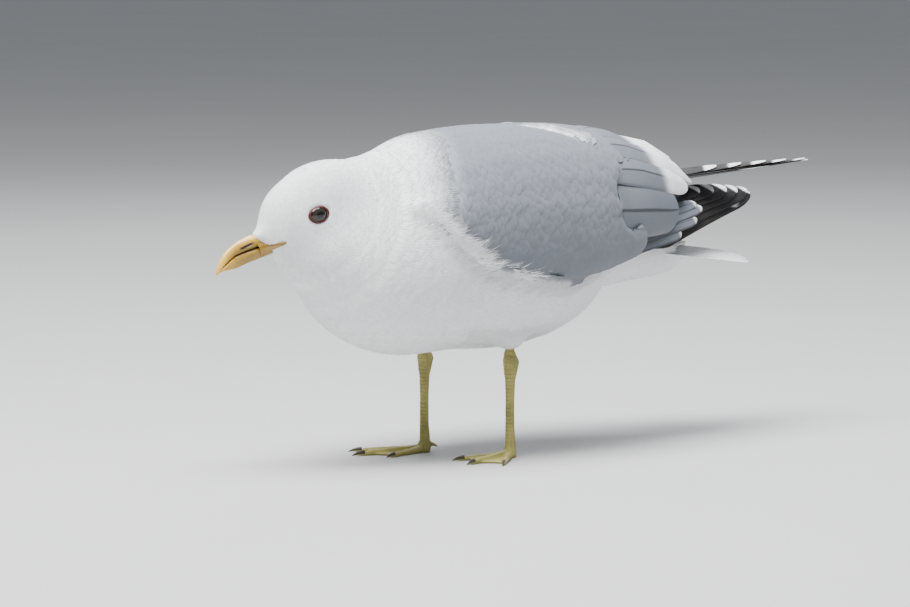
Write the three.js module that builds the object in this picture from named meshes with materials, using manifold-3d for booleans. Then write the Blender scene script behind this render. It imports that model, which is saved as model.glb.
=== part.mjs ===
// A common gull (Larus canus) in summer dress, life size. It stands still on both feet with its
// neck drawn in, its head turned a little to its right, and its wing tips crossed over the tail.
//
// Millimetres, Z up. The bird faces -X and its left side is at -Y. It is laid out from a point on
// the floor midway between its heels, and is then set down on the middle of its own footprint.

import * as THREE from 'three';
import { mergeVertices } from 'three/addons/utils/BufferGeometryUtils.js';
import Module from 'manifold-3d';

const wasm = await Module();
wasm.setup();

const { lerp, clamp, smoothstep, degToRad } = THREE.MathUtils;

// ---- driving sizes --------------------------------------------------------------------------

const GAP = 0.3; // clear space between two solids that meet
const DETAIL = 0.2; // how far a finished face may lie from its true place
const BLADE_DETAIL = 0.02; // the same, for the thin long feathers
const LEFT = -1; // the bird's left is at -Y
const RIGHT = 1;

// Head: laid out in its own frame, x forward, y to the bird's left, z up, from midway between
// the eyes.
const HEAD_AT = new THREE.Vector3(-127.1, 3.7, 153.6);
const HEAD_TURN = degToRad(12); // to the bird's right
const HEAD_DIP = degToRad(21); // bill below level
const HEAD_CUT = { at: [-1, 0, 3], half: [44, 31, 30] }; // the rounded end of the drawn-in neck

const EYE_RADIUS = 6.3;
const EYE_PROUD = 1.3; // how far the eyeball stands out of the feathered cheek
const EYE_RING = { length: 11.6, height: 9.2, thick: 1.4, slant: degToRad(8) };

const BILL = {
  tip: 67.8, // forward of the eyes
  culmenFoot: 35.5, // where the forehead feathers end
  gape: 14.6,
  culmenHeight: 1.8,
  culmenDroop: 11.5, // from its foot to the hooked tip
  gapeHeight: -11.6,
  meetRise: 6.2, // how far the line between the halves climbs from the gape
  meetFall: 4.6, // and how far it falls again to the tip
  gonys: 54,
  gonysHeight: -12.8,
  chinHeight: -15.2, // of the keel at the gape
  halfWidth: 6.2, // at the gape
};
const NOSTRIL = { at: [44.4, 0, -2.7], half: [4.6, 6, 0.7] };

// Legs: the bird's right foot is set a little ahead of its left one.
const HEEL_SPREAD = 28;
const HEEL_LEAD = 9.4;
const TOE_OUT = degToRad(18);
const ANKLE_HEIGHT = 7;
const JOINT_HEIGHT = 57;
const LEG_TOP = 64;
const TOES = [
  { name: 'inner', length: 33, angle: degToRad(-31), radius: 2.1 },
  { name: 'middle', length: 42, angle: degToRad(-3), radius: 2.4 },
  { name: 'outer', length: 39, angle: degToRad(23), radius: 2.2 },
];
const CLAW_LENGTH = 7;
const WEB_THICK = 1.1;
const TOE_SINK = 0.3; // how much of a toe's underside is pressed flat

// Folded wings: a cloak round the body, in slices across X. Each slice is a rounded arch.
const ARCH_HEIGHT = 135; // height of the line that the arches are measured from
const CLOAK = [
  // x, half width, rise of the roof
  [-90, 48, 34],
  [-60, 58, 53],
  [-30, 64, 63],
  [10, 67, 65],
  [60, 65, 64],
  [90, 58, 62],
  [115, 50, 53.5],
  [140, 41, 49],
  [160, 32, 40],
  [180, 22, 26],
];
const ARCH_POWER = 2.15;
const BODY_END = 110; // behind this the wings hang clear of the body
const LEAST_SHELL = 0.8; // of wing over the body

const FLIGHT = {
  left: { root: [92, -40, 127], tip: [259, 11, 147], roll: degToRad(50), bow: 5 },
  right: { root: [92, 40, 150], tip: [266, -33, 170], roll: degToRad(10), bow: 0 },
};
const PRIMARY = {
  count: 6,
  width: 18,
  thick: 0.8,
  layer: 1.15,
  shorter: [0, 3, 17, 32, 50, 68], // than the longest, outermost first
  rootLead: 17, // leading edge of the outermost, from the middle of the stack
  rootStep: 5.3,
  tipLead: 6,
  tipStep: 2.4,
};
const RECTRIX = {
  pairs: 6,
  start: 8,
  length: 125,
  shorter: 0.9, // from one pair to the next
  width: 12,
  step: 3.5,
  thick: 0.7,
  layer: 1.05,
};
const TAIL_ROOT = new THREE.Vector3(106, 0, 128);
const TAIL_DIP = degToRad(7.6);

// ---- colours --------------------------------------------------------------------------------

const paint = (color, roughness) => new THREE.MeshStandardMaterial({ color, roughness, metalness: 0 });
const white = () => paint(0xf1f0ec, 0.8);
const grey = () => paint(0x9aa3ad, 0.75);
const black = () => paint(0x1d1b1c, 0.6);
const legSkin = () => paint(0x9a9a5a, 0.5);
const billHorn = () => paint(0xc9a53a, 0.35);
const eyeBrown = () => paint(0x1c120c, 0.05);
const ringRed = () => paint(0x8c2a1c, 0.5);

// ---- solids ---------------------------------------------------------------------------------

/** A closed three.js geometry as a solid that can be joined and cut. */
function solidOf(geometry) {
  const bare = geometry.clone();
  bare.deleteAttribute('normal');
  bare.deleteAttribute('uv');
  const merged = mergeVertices(bare, 1e-4);
  const mesh = new wasm.Mesh({
    numProp: 3,
    vertProperties: new Float32Array(merged.attributes.position.array),
    triVerts: new Uint32Array(merged.index.array),
  });
  return new wasm.Manifold(mesh);
}

/** The main body of a solid, without the crumbs that a cut can leave beside it. */
function withoutCrumbs(solid) {
  return solid.decompose().reduce((largest, piece) => (piece.volume() > largest.volume() ? piece : largest));
}

/** A solid as a three.js geometry, in no more detail than it needs. */
function geometryOf(solid, detail) {
  const mesh = withoutCrumbs(withoutCrumbs(solid).simplify(detail)).getMesh();
  const geometry = new THREE.BufferGeometry();
  geometry.setAttribute('position', new THREE.BufferAttribute(new Float32Array(mesh.vertProperties), 3));
  geometry.setIndex(new THREE.BufferAttribute(new Uint32Array(mesh.triVerts), 1));
  geometry.computeVertexNormals();
  return geometry;
}

/**
 * Rings of points, in order, skinned over and closed at each end: with a fan, or on a thin curved
 * slice with a strip that joins its outer points to the inner points behind them.
 */
function loft(rings, isThin = false) {
  const sides = rings[0].length;
  const middle = (ring) => ring.reduce((sum, p) => sum.add(p), new THREE.Vector3()).divideScalar(sides);
  const points = rings.flat();
  const index = [];
  for (let r = 0; r < rings.length - 1; r += 1) {
    for (let s = 0; s < sides; s += 1) {
      const a = r * sides + s;
      const b = r * sides + ((s + 1) % sides);
      index.push(a, b, a + sides, b, b + sides, a + sides);
    }
  }
  const last = (rings.length - 1) * sides;
  if (isThin) {
    for (let s = 0; s < sides / 2 - 1; s += 1) {
      const behind = sides - 1 - s;
      index.push(s, behind, s + 1, behind, behind - 1, s + 1);
      index.push(last + s, last + s + 1, last + behind, last + behind, last + s + 1, last + behind - 1);
    }
  } else {
    const first = points.push(middle(rings[0]), middle(rings[rings.length - 1])) - 2;
    for (let s = 0; s < sides; s += 1) {
      const next = (s + 1) % sides;
      index.push(first, next, s);
      index.push(first + 1, last + s, last + next);
    }
  }
  const geometry = new THREE.BufferGeometry().setFromPoints(points);
  geometry.setIndex(index);
  return solidOf(outward(geometry));
}

/** The geometry with its faces pointing out, whichever way its rings ran. */
function outward(geometry) {
  const p = geometry.attributes.position;
  const index = geometry.index.array;
  const a = new THREE.Vector3();
  const b = new THREE.Vector3();
  const c = new THREE.Vector3();
  let volume = 0;
  for (let i = 0; i < index.length; i += 3) {
    a.fromBufferAttribute(p, index[i]);
    b.fromBufferAttribute(p, index[i + 1]);
    c.fromBufferAttribute(p, index[i + 2]);
    volume += a.dot(b.cross(c));
  }
  if (volume < 0) {
    for (let i = 0; i < index.length; i += 3) {
      [index[i + 1], index[i + 2]] = [index[i + 2], index[i + 1]];
    }
  }
  return geometry;
}

/** A block with its lowest corner at `low` and its highest at `high`. */
function block(low, high) {
  const geometry = new THREE.BoxGeometry(high[0] - low[0], high[1] - low[1], high[2] - low[2]);
  geometry.translate((low[0] + high[0]) / 2, (low[1] + high[1]) / 2, (low[2] + high[2]) / 2);
  return solidOf(geometry);
}

/** The half of space behind a plane, as a very large block. `facing` points out of it. */
function halfSpace(point, facing, shift = 0) {
  const size = 900;
  const geometry = new THREE.BoxGeometry(size, size, size);
  geometry.translate(0, 0, -size / 2 + shift);
  const turn = new THREE.Quaternion().setFromUnitVectors(new THREE.Vector3(0, 0, 1), facing);
  geometry.applyQuaternion(turn);
  geometry.translate(point.x, point.y, point.z);
  return solidOf(geometry);
}

function ellipsoid(half, grow = 0, columns = 32, rows = 18) {
  const geometry = new THREE.SphereGeometry(1, columns, rows);
  geometry.scale(half[0] + grow, half[1] + grow, half[2] + grow);
  return geometry;
}

// ---- frames ---------------------------------------------------------------------------------

/** The head's frame: its x axis runs out along the bill. */
const headFrame = (() => {
  const forward = new THREE.Vector3(-Math.cos(HEAD_TURN), Math.sin(HEAD_TURN), 0);
  const left = new THREE.Vector3(0, 0, 1).cross(forward);
  forward.multiplyScalar(Math.cos(HEAD_DIP)).setZ(-Math.sin(HEAD_DIP));
  const up = new THREE.Vector3().crossVectors(forward, left);
  return new THREE.Matrix4().makeBasis(forward, left, up).setPosition(HEAD_AT);
})();
const intoHead = headFrame.clone().invert();

// ---- the feathered body ---------------------------------------------------------------------

// The body's outer form is a set of soft masses that run into each other.
const MASSES = [
  { name: 'cranium', head: true, at: [-10, 0, 3.8], half: [31, 17.5, 22] },
  { name: 'forehead', head: true, at: [10, 0, 3.5], half: [16.5, 11, 14] },
  { name: 'lores', head: true, at: [19, 0, -6], half: [15, 7.5, 8] },
  { name: 'cheek', head: true, at: [1, 0, -10], half: [25, 14.5, 12] },
  { name: 'throat', head: true, at: [-4, 0, -28], half: [27, 23, 20] },
  { name: 'nape', at: [-82, 1, 151], half: [30, 27, 34] },
  { name: 'neck', at: [-84, 3, 121], half: [42, 37, 40] },
  { name: 'breast', at: [-54, 0, 118], half: [65, 53, 54] },
  { name: 'mantle', at: [-32, 0, 150], half: [62, 46, 45] },
  { name: 'trunk', at: [2, 0, 130], half: [92, 57, 64] },
  { name: 'belly', at: [30, 0, 117], half: [78, 49, 50] },
  { name: 'back', at: [25, 0, 150], half: [84, 42, 42] },
  { name: 'rump', at: [88, 0, 134], half: [66, 30, 28] },
  { name: 'vent', at: [112, 0, 114.5], half: [84, 25, 17] },
];
const MASS_BLEND = 5;

/** Rough distance from a point to the surface of one mass, negative inside it. */
function massDistance(mass, point) {
  const local = mass.head ? point.clone().applyMatrix4(intoHead) : point.clone();
  const [x, y, z] = [local.x - mass.at[0], local.y - mass.at[1], local.z - mass.at[2]];
  const [a, b, c] = mass.half;
  const scaled = Math.hypot(x / a, y / b, z / c);
  const slope = Math.hypot(x / (a * a), y / (b * b), z / (c * c));
  return slope < 1e-9 ? -Math.min(a, b, c) : (scaled * (scaled - 1)) / slope;
}

/** Distance to the whole feathered body, with the masses blended. */
function bodyDistance(point) {
  let sum = 0;
  for (const mass of MASSES) {
    sum += Math.exp(-massDistance(mass, point) / MASS_BLEND);
  }
  return -MASS_BLEND * Math.log(sum);
}

/** How far a ray runs from inside the form to its surface. */
function reach(distance, from, direction, limit = 200) {
  const point = new THREE.Vector3();
  const at = (t) => distance(point.copy(from).addScaledVector(direction, t));
  let inside = 0;
  let outside = limit;
  for (let t = 2; t < limit; t += 2) {
    if (at(t) > 0) {
      outside = t;
      break;
    }
    inside = t;
  }
  for (let i = 0; i < 18; i += 1) {
    const middle = (inside + outside) / 2;
    if (at(middle) > 0) {
      outside = middle;
    } else {
      inside = middle;
    }
  }
  return (inside + outside) / 2;
}

/** A closed skin over a form, drawn by rays that fan out from a straight core. */
function skin(distance, start, end, sides, capRows, coreRows) {
  const axis = new THREE.Vector3().subVectors(end, start);
  const across = new THREE.Vector3(0, 1, 0);
  const forward = axis.lengthSq() > 0 ? axis.clone().normalize() : new THREE.Vector3(1, 0, 0);
  const up = new THREE.Vector3().crossVectors(forward, across).normalize();
  across.crossVectors(up, forward);
  const stations = [];
  for (let i = 1; i <= capRows; i += 1) {
    stations.push([0, (-Math.PI / 2) * (1 - i / (capRows + 1))]);
  }
  for (let i = 0; i <= coreRows; i += 1) {
    stations.push([coreRows ? i / coreRows : 0, 0]);
  }
  for (let i = 1; i <= capRows; i += 1) {
    stations.push([1, (Math.PI / 2) * (i / (capRows + 1))]);
  }
  const rings = stations.map(([along, lean]) => {
    const from = start.clone().lerp(end, along);
    return Array.from({ length: sides }, (_, s) => {
      const turn = (2 * Math.PI * s) / sides;
      const direction = across.clone().multiplyScalar(Math.cos(turn) * Math.cos(lean));
      direction.addScaledVector(up, Math.sin(turn) * Math.cos(lean));
      direction.addScaledVector(forward, Math.sin(lean));
      return from.clone().addScaledVector(direction, reach(distance, from, direction));
    });
  });
  return loft(rings);
}

// Planes that part the body: neck from trunk, and trunk from rump. Each faces the head.
const NECK_CUT = { at: new THREE.Vector3(-76, 0, 146), facing: new THREE.Vector3(-0.8, 0, 0.6) };
const RUMP_CUT = { at: new THREE.Vector3(92, 0, 130), facing: new THREE.Vector3(-0.97, 0, 0.243).normalize() };
const OVERRUN = 12; // how far a raw skin runs past its cut

const pastCut = (cut, point) => cut.facing.dot(point.clone().sub(cut.at));

const RAW_FORMS = {
  head: {
    from: new THREE.Vector3(-5, 0, 0).applyMatrix4(headFrame),
    to: new THREE.Vector3(12, 0, -2).applyMatrix4(headFrame),
    sides: 20,
    capRows: 5,
    coreRows: 1,
    bound: (p) => headCutDistance(p) - OVERRUN,
  },
  neck: {
    from: new THREE.Vector3(-92, 5, 134),
    to: new THREE.Vector3(-88, 4, 138),
    sides: 22,
    capRows: 5,
    coreRows: 1,
    bound: (p) => Math.max(-pastCut(NECK_CUT, p), -headCutDistance(p)) - OVERRUN,
  },
  trunk: {
    from: new THREE.Vector3(-58, 0, 126),
    to: new THREE.Vector3(72, 0, 128),
    sides: 24,
    capRows: 5,
    coreRows: 7,
    bound: (p) => Math.max(pastCut(NECK_CUT, p) - OVERRUN, -pastCut(RUMP_CUT, p) - OVERRUN),
  },
  rump: {
    from: new THREE.Vector3(94, 0, 118),
    to: new THREE.Vector3(150, 0, 112),
    sides: 20,
    capRows: 3,
    coreRows: 5,
    bound: (p) => pastCut(RUMP_CUT, p) - OVERRUN,
  },
};

function headCutDistance(point) {
  return massDistance({ head: true, at: HEAD_CUT.at, half: HEAD_CUT.half }, point);
}

/** The raw skin of one stretch of the body, grown outwards by `grow`. */
function rawForm(name, grow = 0) {
  const form = RAW_FORMS[name];
  const distance = (p) => Math.max(bodyDistance(p), form.bound(p)) - grow;
  return skin(distance, form.from, form.to, form.sides, form.capRows, form.coreRows);
}

function headCutter(grow) {
  const geometry = ellipsoid(HEAD_CUT.half, grow, 20, 10);
  geometry.translate(...HEAD_CUT.at);
  geometry.applyMatrix4(headFrame);
  return solidOf(geometry);
}

const behind = (cut, shift) => halfSpace(cut.at, cut.facing, shift);

const bodyParts = {
  head: rawForm('head').intersect(headCutter(0)),
  neck: rawForm('neck').subtract(headCutter(GAP)).subtract(behind(NECK_CUT, 0)),
  trunk: rawForm('trunk').intersect(behind(NECK_CUT, -GAP)).subtract(behind(RUMP_CUT, 0)),
  rump: rawForm('rump').intersect(behind(RUMP_CUT, -GAP)),
};
const grownBody = rawForm('neck', GAP).add(rawForm('trunk', GAP)).add(rawForm('rump', GAP));

// ---- bill -----------------------------------------------------------------------------------

/** The bill's upper or lower half, from inside the feathers to the tip, grown by `grow`. */
function billHalf(isUpper, grow = 0) {
  const steps = 10;
  const start = BILL.gape - 4;
  const end = isUpper ? BILL.tip : BILL.tip - 2.6;
  const rings = [];
  for (let i = 0; i <= steps; i += 1) {
    const x = lerp(start, end, Math.sin(((i / steps) * Math.PI) / 2));
    const along = clamp((x - BILL.gape) / (BILL.tip - BILL.gape), 0, 1);
    const onCulmen = clamp((x - BILL.culmenFoot) / (BILL.tip - BILL.culmenFoot), 0, 1);
    const pastGonys = clamp((x - BILL.gonys) / (BILL.tip - BILL.gonys), 0, 1);
    const rise = BILL.meetRise * Math.sin((Math.min(along / 0.7, 1) * Math.PI) / 2);
    const meet = BILL.gapeHeight + rise - BILL.meetFall * smoothstep(along, 0.7, 1.02);
    const ridge = BILL.culmenHeight - BILL.culmenDroop * onCulmen ** 3.8;
    const keel = lerp(BILL.chinHeight, BILL.gonysHeight, Math.min(along / 0.6, 1));
    const chin = lerp(keel, meet - 0.7, pastGonys ** 1.6);
    const hook = isUpper ? 1.8 * smoothstep(along, 0.88, 1) : 0;
    const blunt = Math.sqrt(Math.max(1 - along ** 12, 0.05));
    const width = BILL.halfWidth * lerp(1, 0.4, along ** 0.9) * blunt;
    const top = isUpper ? Math.max(ridge, meet + 0.4) + grow : meet - GAP / 2 + grow;
    const bottom = isUpper ? meet + GAP / 2 - hook - grow : chin - grow;
    rings.push(billRing(x + (i === steps ? grow : 0), top, bottom, width + grow, isUpper));
  }
  return loft(rings);
}

/** One slice of half a bill: full at the cutting edge and narrow along its ridge or keel. */
function billRing(x, top, bottom, width, isUpper) {
  const points = [];
  const sides = 10;
  for (let s = 0; s < sides; s += 1) {
    const turn = (2 * Math.PI * (s + 0.5)) / sides;
    const rise = (Math.sin(turn) + 1) / 2;
    const taper = isUpper ? 1 - 0.52 * rise ** 1.5 : 1 - 0.5 * (1 - rise) ** 1.5;
    const y = width * taper * Math.sign(Math.cos(turn)) * Math.abs(Math.cos(turn)) ** 0.8;
    points.push(new THREE.Vector3(x, y, lerp(bottom, top, rise)));
  }
  return points;
}

function nostrils() {
  const geometry = ellipsoid(NOSTRIL.half, 0, 16, 8);
  geometry.translate(...NOSTRIL.at);
  return solidOf(geometry);
}

const inHead = (solid) => solid.transform(headFrame.toArray());

// ---- eyes -----------------------------------------------------------------------------------

/** How far the feathered cheek stands out from between the eyes, on one side. */
const cheekReach = (side) => {
  const outwards = new THREE.Vector3(0, side, 0).transformDirection(headFrame);
  return reach(bodyDistance, HEAD_AT, outwards);
};

function eyeball(side, grow = 0) {
  const geometry = new THREE.SphereGeometry(EYE_RADIUS + grow, 12, 7);
  geometry.translate(0, side * (cheekReach(side) + EYE_PROUD - EYE_RADIUS), 0);
  return solidOf(geometry);
}

/** The bare ring of skin round the eye, an almond with its front corner low. */
function eyeRing(side, grow = 0) {
  const size = EYE_RING;
  const geometry = new THREE.TorusGeometry(1, 0.5, 4, 12);
  const p = geometry.attributes.position;
  for (let i = 0; i < p.count; i += 1) {
    const radius = Math.hypot(p.getX(i), p.getY(i));
    const tube = radius - 1;
    const cos = p.getX(i) / radius;
    const sin = p.getY(i) / radius;
    const spread = tube * (size.thick + 2 * grow);
    p.setXYZ(
      i,
      cos * ((size.length - size.thick) / 2 + spread),
      sin * ((size.height - size.thick) / 2 + spread),
      p.getZ(i) * (size.thick + 2 * grow) * 1.6,
    );
  }
  geometry.rotateZ(-side * size.slant);
  geometry.rotateX((-side * Math.PI) / 2);
  geometry.translate(0, side * (cheekReach(side) - 0.4), 0);
  return solidOf(geometry);
}

// ---- folded wings ---------------------------------------------------------------------------

/** Smooth values between the cloak's slices. */
function cloakSize(x) {
  let i = 1;
  while (i < CLOAK.length - 1 && CLOAK[i][0] < x) {
    i += 1;
  }
  const [x0, width0, rise0] = CLOAK[i - 1];
  const [x1, width1, rise1] = CLOAK[i];
  const t = clamp((x - x0) / (x1 - x0), 0, 1);
  return { width: lerp(width0, width1, t), rise: lerp(rise0, rise1, t) };
}

/**
 * A point on the cloak: `angle` climbs from the bird's side (0) to the middle of its back. The
 * cloak never dips into the body.
 */
function cloakPoint(side, x, angle, depth) {
  const { width, rise } = cloakSize(x);
  const cos = Math.max(Math.cos(angle), 0);
  const sin = Math.abs(Math.sin(angle));
  const round = ((cos / width) ** ARCH_POWER + (sin / rise) ** ARCH_POWER) ** (-1 / ARCH_POWER);
  const centre = new THREE.Vector3(x, 0, ARCH_HEIGHT);
  const outwards = new THREE.Vector3(0, side * Math.cos(angle), Math.sin(angle));
  const body = x < BODY_END ? reach(bodyDistance, centre, outwards, 90) + LEAST_SHELL : 0;
  return centre.addScaledVector(outwards, Math.max(round, body) - depth);
}

/**
 * A patch of the cloak as a thin closed shell. `edges` gives, for each, the x where a row starts
 * and ends and the angle where a slice starts and ends.
 */
function cloakPatch(side, edges, columns, rows, lift = 0) {
  const outer = [];
  const inner = [];
  for (let r = 0; r <= rows; r += 1) {
    const v = r / rows;
    outer.push([]);
    inner.push([]);
    for (let c = 0; c <= columns; c += 1) {
      const u = c / columns;
      const x = lerp(edges.front(v), edges.rear(v), u);
      const angle = degToRad(lerp(edges.low(x), edges.high(x), v));
      const rim = Math.min(1, 6 * Math.min(v, 1 - v) + 0.25, 8 * Math.min(u, 1 - u) + 0.25);
      const swell = edges.swell ? edges.swell(u, v) : 0;
      outer[r].push(cloakPoint(side, x, angle, -lift - swell - 0.8 * rim));
      inner[r].push(cloakPoint(side, x, angle, edges.depth * (0.4 + 0.6 * rim) - lift));
    }
  }
  const rings = [];
  for (let c = 0; c <= columns; c += 1) {
    const ring = [];
    for (let r = 0; r <= rows; r += 1) {
      ring.push(outer[r][c]);
    }
    for (let r = rows; r >= 0; r -= 1) {
      ring.push(inner[r][c]);
    }
    rings.push(ring);
  }
  return loft(rings, true).subtract(grownBody);
}

const slide = (...stops) => (x) => {
  let i = 1;
  while (i < stops.length - 1 && stops[i][0] < x) {
    i += 1;
  }
  const t = clamp((x - stops[i - 1][0]) / (stops[i][0] - stops[i - 1][0]), 0, 1);
  return lerp(stops[i - 1][1], stops[i][1], t);
};

const COVERT_END = 77;
const SLIT = 0.45; // between two patches, in degrees
const SCAPULAR_LOW = 30;
const PATCH_TOP = 89.6;
const SCAPULAR_EDGE = slide([-80, 34], [-20, SCAPULAR_LOW]);
/** Where the scapulars end, at an angle up from the bird's side. */
const scapularRear = (angle) => {
  const v = (angle - SCAPULAR_LOW) / (PATCH_TOP - SCAPULAR_LOW);
  return lerp(92, 104, Math.sin(v * Math.PI * 0.6));
};
const COVERTS = {
  low: slide([-84, 30], [-66, 6], [-40, -14], [5, -22], [36, -26], [63, -23], [98, -18]),
  high: (x) => SCAPULAR_EDGE(x) - SLIT,
  front: () => -82,
  rear: () => COVERT_END,
  depth: 7,
};
const SCAPULARS = {
  low: SCAPULAR_EDGE,
  high: () => PATCH_TOP,
  front: (v) => lerp(-72, -52, v),
  rear: (v) => scapularRear(lerp(SCAPULAR_LOW, PATCH_TOP, v)),
  depth: 8,
  swell: (u) => 1.5 * u,
};
const SECONDARIES = {
  low: slide([63, -23], [98, -18], [112, -8]),
  high: () => TERTIAL_ROWS[0].low - SLIT,
  front: () => COVERT_END + GAP,
  rear: (v) => lerp(101, 107, v),
  depth: 5,
};
const TERTIAL_ROWS = [
  { low: 5, high: SCAPULAR_LOW - SLIT, rear: 148 },
  { low: SCAPULAR_LOW, high: 48, rear: 162 },
  { low: 48 + SLIT, high: 68, rear: 174 },
  { low: 68 + SLIT, high: PATCH_TOP, rear: 160 },
];
const TERTIAL_ROUND = 15; // how much further back a tertial's middle reaches than its edges

/** One tertial. The lowest starts behind the wing coverts, and the others behind the scapulars. */
function tertial(side, row) {
  const isLowest = row === TERTIAL_ROWS[0];
  const edges = {
    low: () => row.low,
    high: () => row.high,
    front: (v) => GAP + (isLowest ? COVERT_END : scapularRear(lerp(row.low, row.high, v))),
    rear: (v) => row.rear - TERTIAL_ROUND * (2 * v - 1) ** 2,
    depth: 4,
  };
  return cloakPatch(side, edges, 5, 3);
}

// ---- long feathers --------------------------------------------------------------------------

/** How wide a feather is along its length: quickly to full width, then a rounded tip. */
function vaneWidth(t, tipStart) {
  const growth = smoothstep(t, -0.5, 0.1);
  const tip = t > tipStart ? Math.sqrt(Math.max(1 - ((t - tipStart) / (1 - tipStart)) ** 2, 0)) : 1;
  return growth * Math.max(tip, 0.12);
}

/**
 * A long feather as a thin blade. `place` turns a position in the feather's own layer (along,
 * across, above) into the bird's frame.
 */
function blade(place, { start, end, inner, outer, thick, tipStart, layer, steps, grow }) {
  const rings = [];
  for (let i = 0; i <= steps; i += 1) {
    const t = Math.sin(((i / steps) * Math.PI) / 2);
    const along = lerp(start - grow, end + grow, t);
    const width = vaneWidth(t, tipStart);
    const middle = (inner(t) + outer(t)) / 2;
    const toOuter = Math.sign(outer(t) - inner(t)) * grow;
    const low = lerp(middle, inner(t), width) - toOuter;
    const high = lerp(middle, outer(t), width) + toOuter;
    const rim = thick * 0.7;
    rings.push([
      place(along, low, layer - grow),
      place(along, middle, layer - grow),
      place(along, high, layer - grow),
      place(along, high, layer + rim + grow),
      place(along, middle, layer + thick + grow),
      place(along, low, layer + rim + grow),
    ]);
  }
  return loft(rings, true);
}

/** Where a position in one wing's stack of primaries lies. The stack sags a little to its tip. */
function flightPlace(side, wing) {
  const root = new THREE.Vector3(...wing.root);
  const tip = new THREE.Vector3(...wing.tip);
  const along = new THREE.Vector3().subVectors(tip, root);
  const length = along.length();
  along.normalize();
  const level = new THREE.Vector3(0, side, 0).addScaledVector(along, -along.y * side).normalize();
  const upright = new THREE.Vector3().crossVectors(along, level).multiplyScalar(-side).normalize();
  upright.multiplyScalar(upright.z < 0 ? -1 : 1);
  const across = level.clone().multiplyScalar(Math.cos(wing.roll));
  across.addScaledVector(upright, -Math.sin(wing.roll));
  const normal = level.clone().multiplyScalar(Math.sin(wing.roll));
  normal.addScaledVector(upright, Math.cos(wing.roll));
  const place = (a, b, h) => {
    const bow = wing.bow * Math.sin((Math.PI * clamp(a, 0, length)) / length);
    const cup = 0.012 * b * b;
    return root.clone().addScaledVector(along, a).addScaledVector(across, b).addScaledVector(normal, h + bow - cup);
  };
  return { place, length };
}

/** One primary. Number 0 is the outermost and longest, lowest in the stack. */
function primary(side, wing, number, grow = 0) {
  const { place, length } = flightPlace(side, wing);
  const rootLead = PRIMARY.rootLead - PRIMARY.rootStep * number;
  const tipLead = PRIMARY.tipLead - PRIMARY.tipStep * number;
  return blade(place, {
    start: 12,
    end: length - PRIMARY.shorter[number],
    inner: (t) => lerp(rootLead, tipLead, t) - lerp(PRIMARY.width, PRIMARY.width - 5, t),
    outer: (t) => lerp(rootLead, tipLead, t),
    thick: PRIMARY.thick,
    tipStart: 0.72,
    layer: number * PRIMARY.layer,
    steps: 5,
    grow,
  });
}

/** The room that one wing's primaries need. */
function primaryRoom(side, wing) {
  const feathers = Array.from({ length: PRIMARY.count }, (_, number) => primary(side, wing, number, GAP));
  return feathers.reduce((room, feather) => room.add(feather));
}

/** Where a position in the closed tail lies. The tail is flat and tips down a little. */
function tailPlace(along, across, above) {
  return new THREE.Vector3(
    TAIL_ROOT.x + along * Math.cos(TAIL_DIP) + above * Math.sin(TAIL_DIP),
    TAIL_ROOT.y + across,
    TAIL_ROOT.z - along * Math.sin(TAIL_DIP) + above * Math.cos(TAIL_DIP),
  );
}

/** How far out one pair's edge lies, from its root (0) to its tip (1). */
const rectrixEdge = (pair, t) => (RECTRIX.width + RECTRIX.step * pair) * lerp(0.6, 1, t);

/** One tail feather. Pair 0 is the middle one, on top of the closed tail. */
function rectrix(side, pair) {
  return blade(tailPlace, {
    start: RECTRIX.start,
    end: RECTRIX.length - RECTRIX.shorter * pair,
    inner: () => side * GAP,
    outer: (t) => side * rectrixEdge(pair, t),
    thick: RECTRIX.thick,
    tipStart: 0.88,
    layer: -pair * RECTRIX.layer,
    steps: 6,
    grow: 0,
  });
}

/** The room that the roots of the tail feathers need among the tail coverts. */
function tailRoom() {
  const slabs = Array.from({ length: RECTRIX.pairs }, (_, pair) => {
    const top = RECTRIX.thick - pair * RECTRIX.layer + GAP;
    const bottom = -pair * RECTRIX.layer - GAP;
    const rings = [RECTRIX.start - GAP, RECTRIX.length].map((along) => {
      const t = (along - RECTRIX.start) / (RECTRIX.length - RECTRIX.start);
      const edge = rectrixEdge(pair, t) + 2 * GAP;
      return [
        tailPlace(along, -edge, bottom),
        tailPlace(along, edge, bottom),
        tailPlace(along, edge, top),
        tailPlace(along, -edge, top),
      ];
    });
    return loft(rings);
  });
  return slabs.reduce((room, slab) => room.add(slab));
}

// ---- legs -----------------------------------------------------------------------------------

/** A round-edged stack of slices, each with its height, centre and half sizes. */
function column(slices, sides = 9) {
  const rings = slices.map(({ z, x = 0, y = 0, halfX, halfY }) =>
    Array.from({ length: sides }, (_, s) => {
      const turn = (2 * Math.PI * s) / sides;
      return new THREE.Vector3(x + halfX * Math.cos(turn), y + halfY * Math.sin(turn), z);
    }),
  );
  return loft(rings);
}

const tarsus = () =>
  column([
    { z: ANKLE_HEIGHT, x: 0.3, halfX: 3.6, halfY: 3.2 },
    { z: 11, x: 0.2, halfX: 3.3, halfY: 2.7 },
    { z: 18, halfX: 3.1, halfY: 2.2 },
    { z: 34, halfX: 3.0, halfY: 2.1 },
    { z: 47, x: 0.2, halfX: 3.4, halfY: 2.6 },
    { z: 52, x: 0.5, halfX: 4.4, halfY: 3.7 },
    { z: JOINT_HEIGHT, x: 0.8, halfX: 5.0, halfY: 4.4 },
    { z: 61, x: 0.2, halfX: 4.0, halfY: 3.6 },
    { z: LEG_TOP, x: -0.4, halfX: 3.4, halfY: 3.1 },
  ]);

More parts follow.
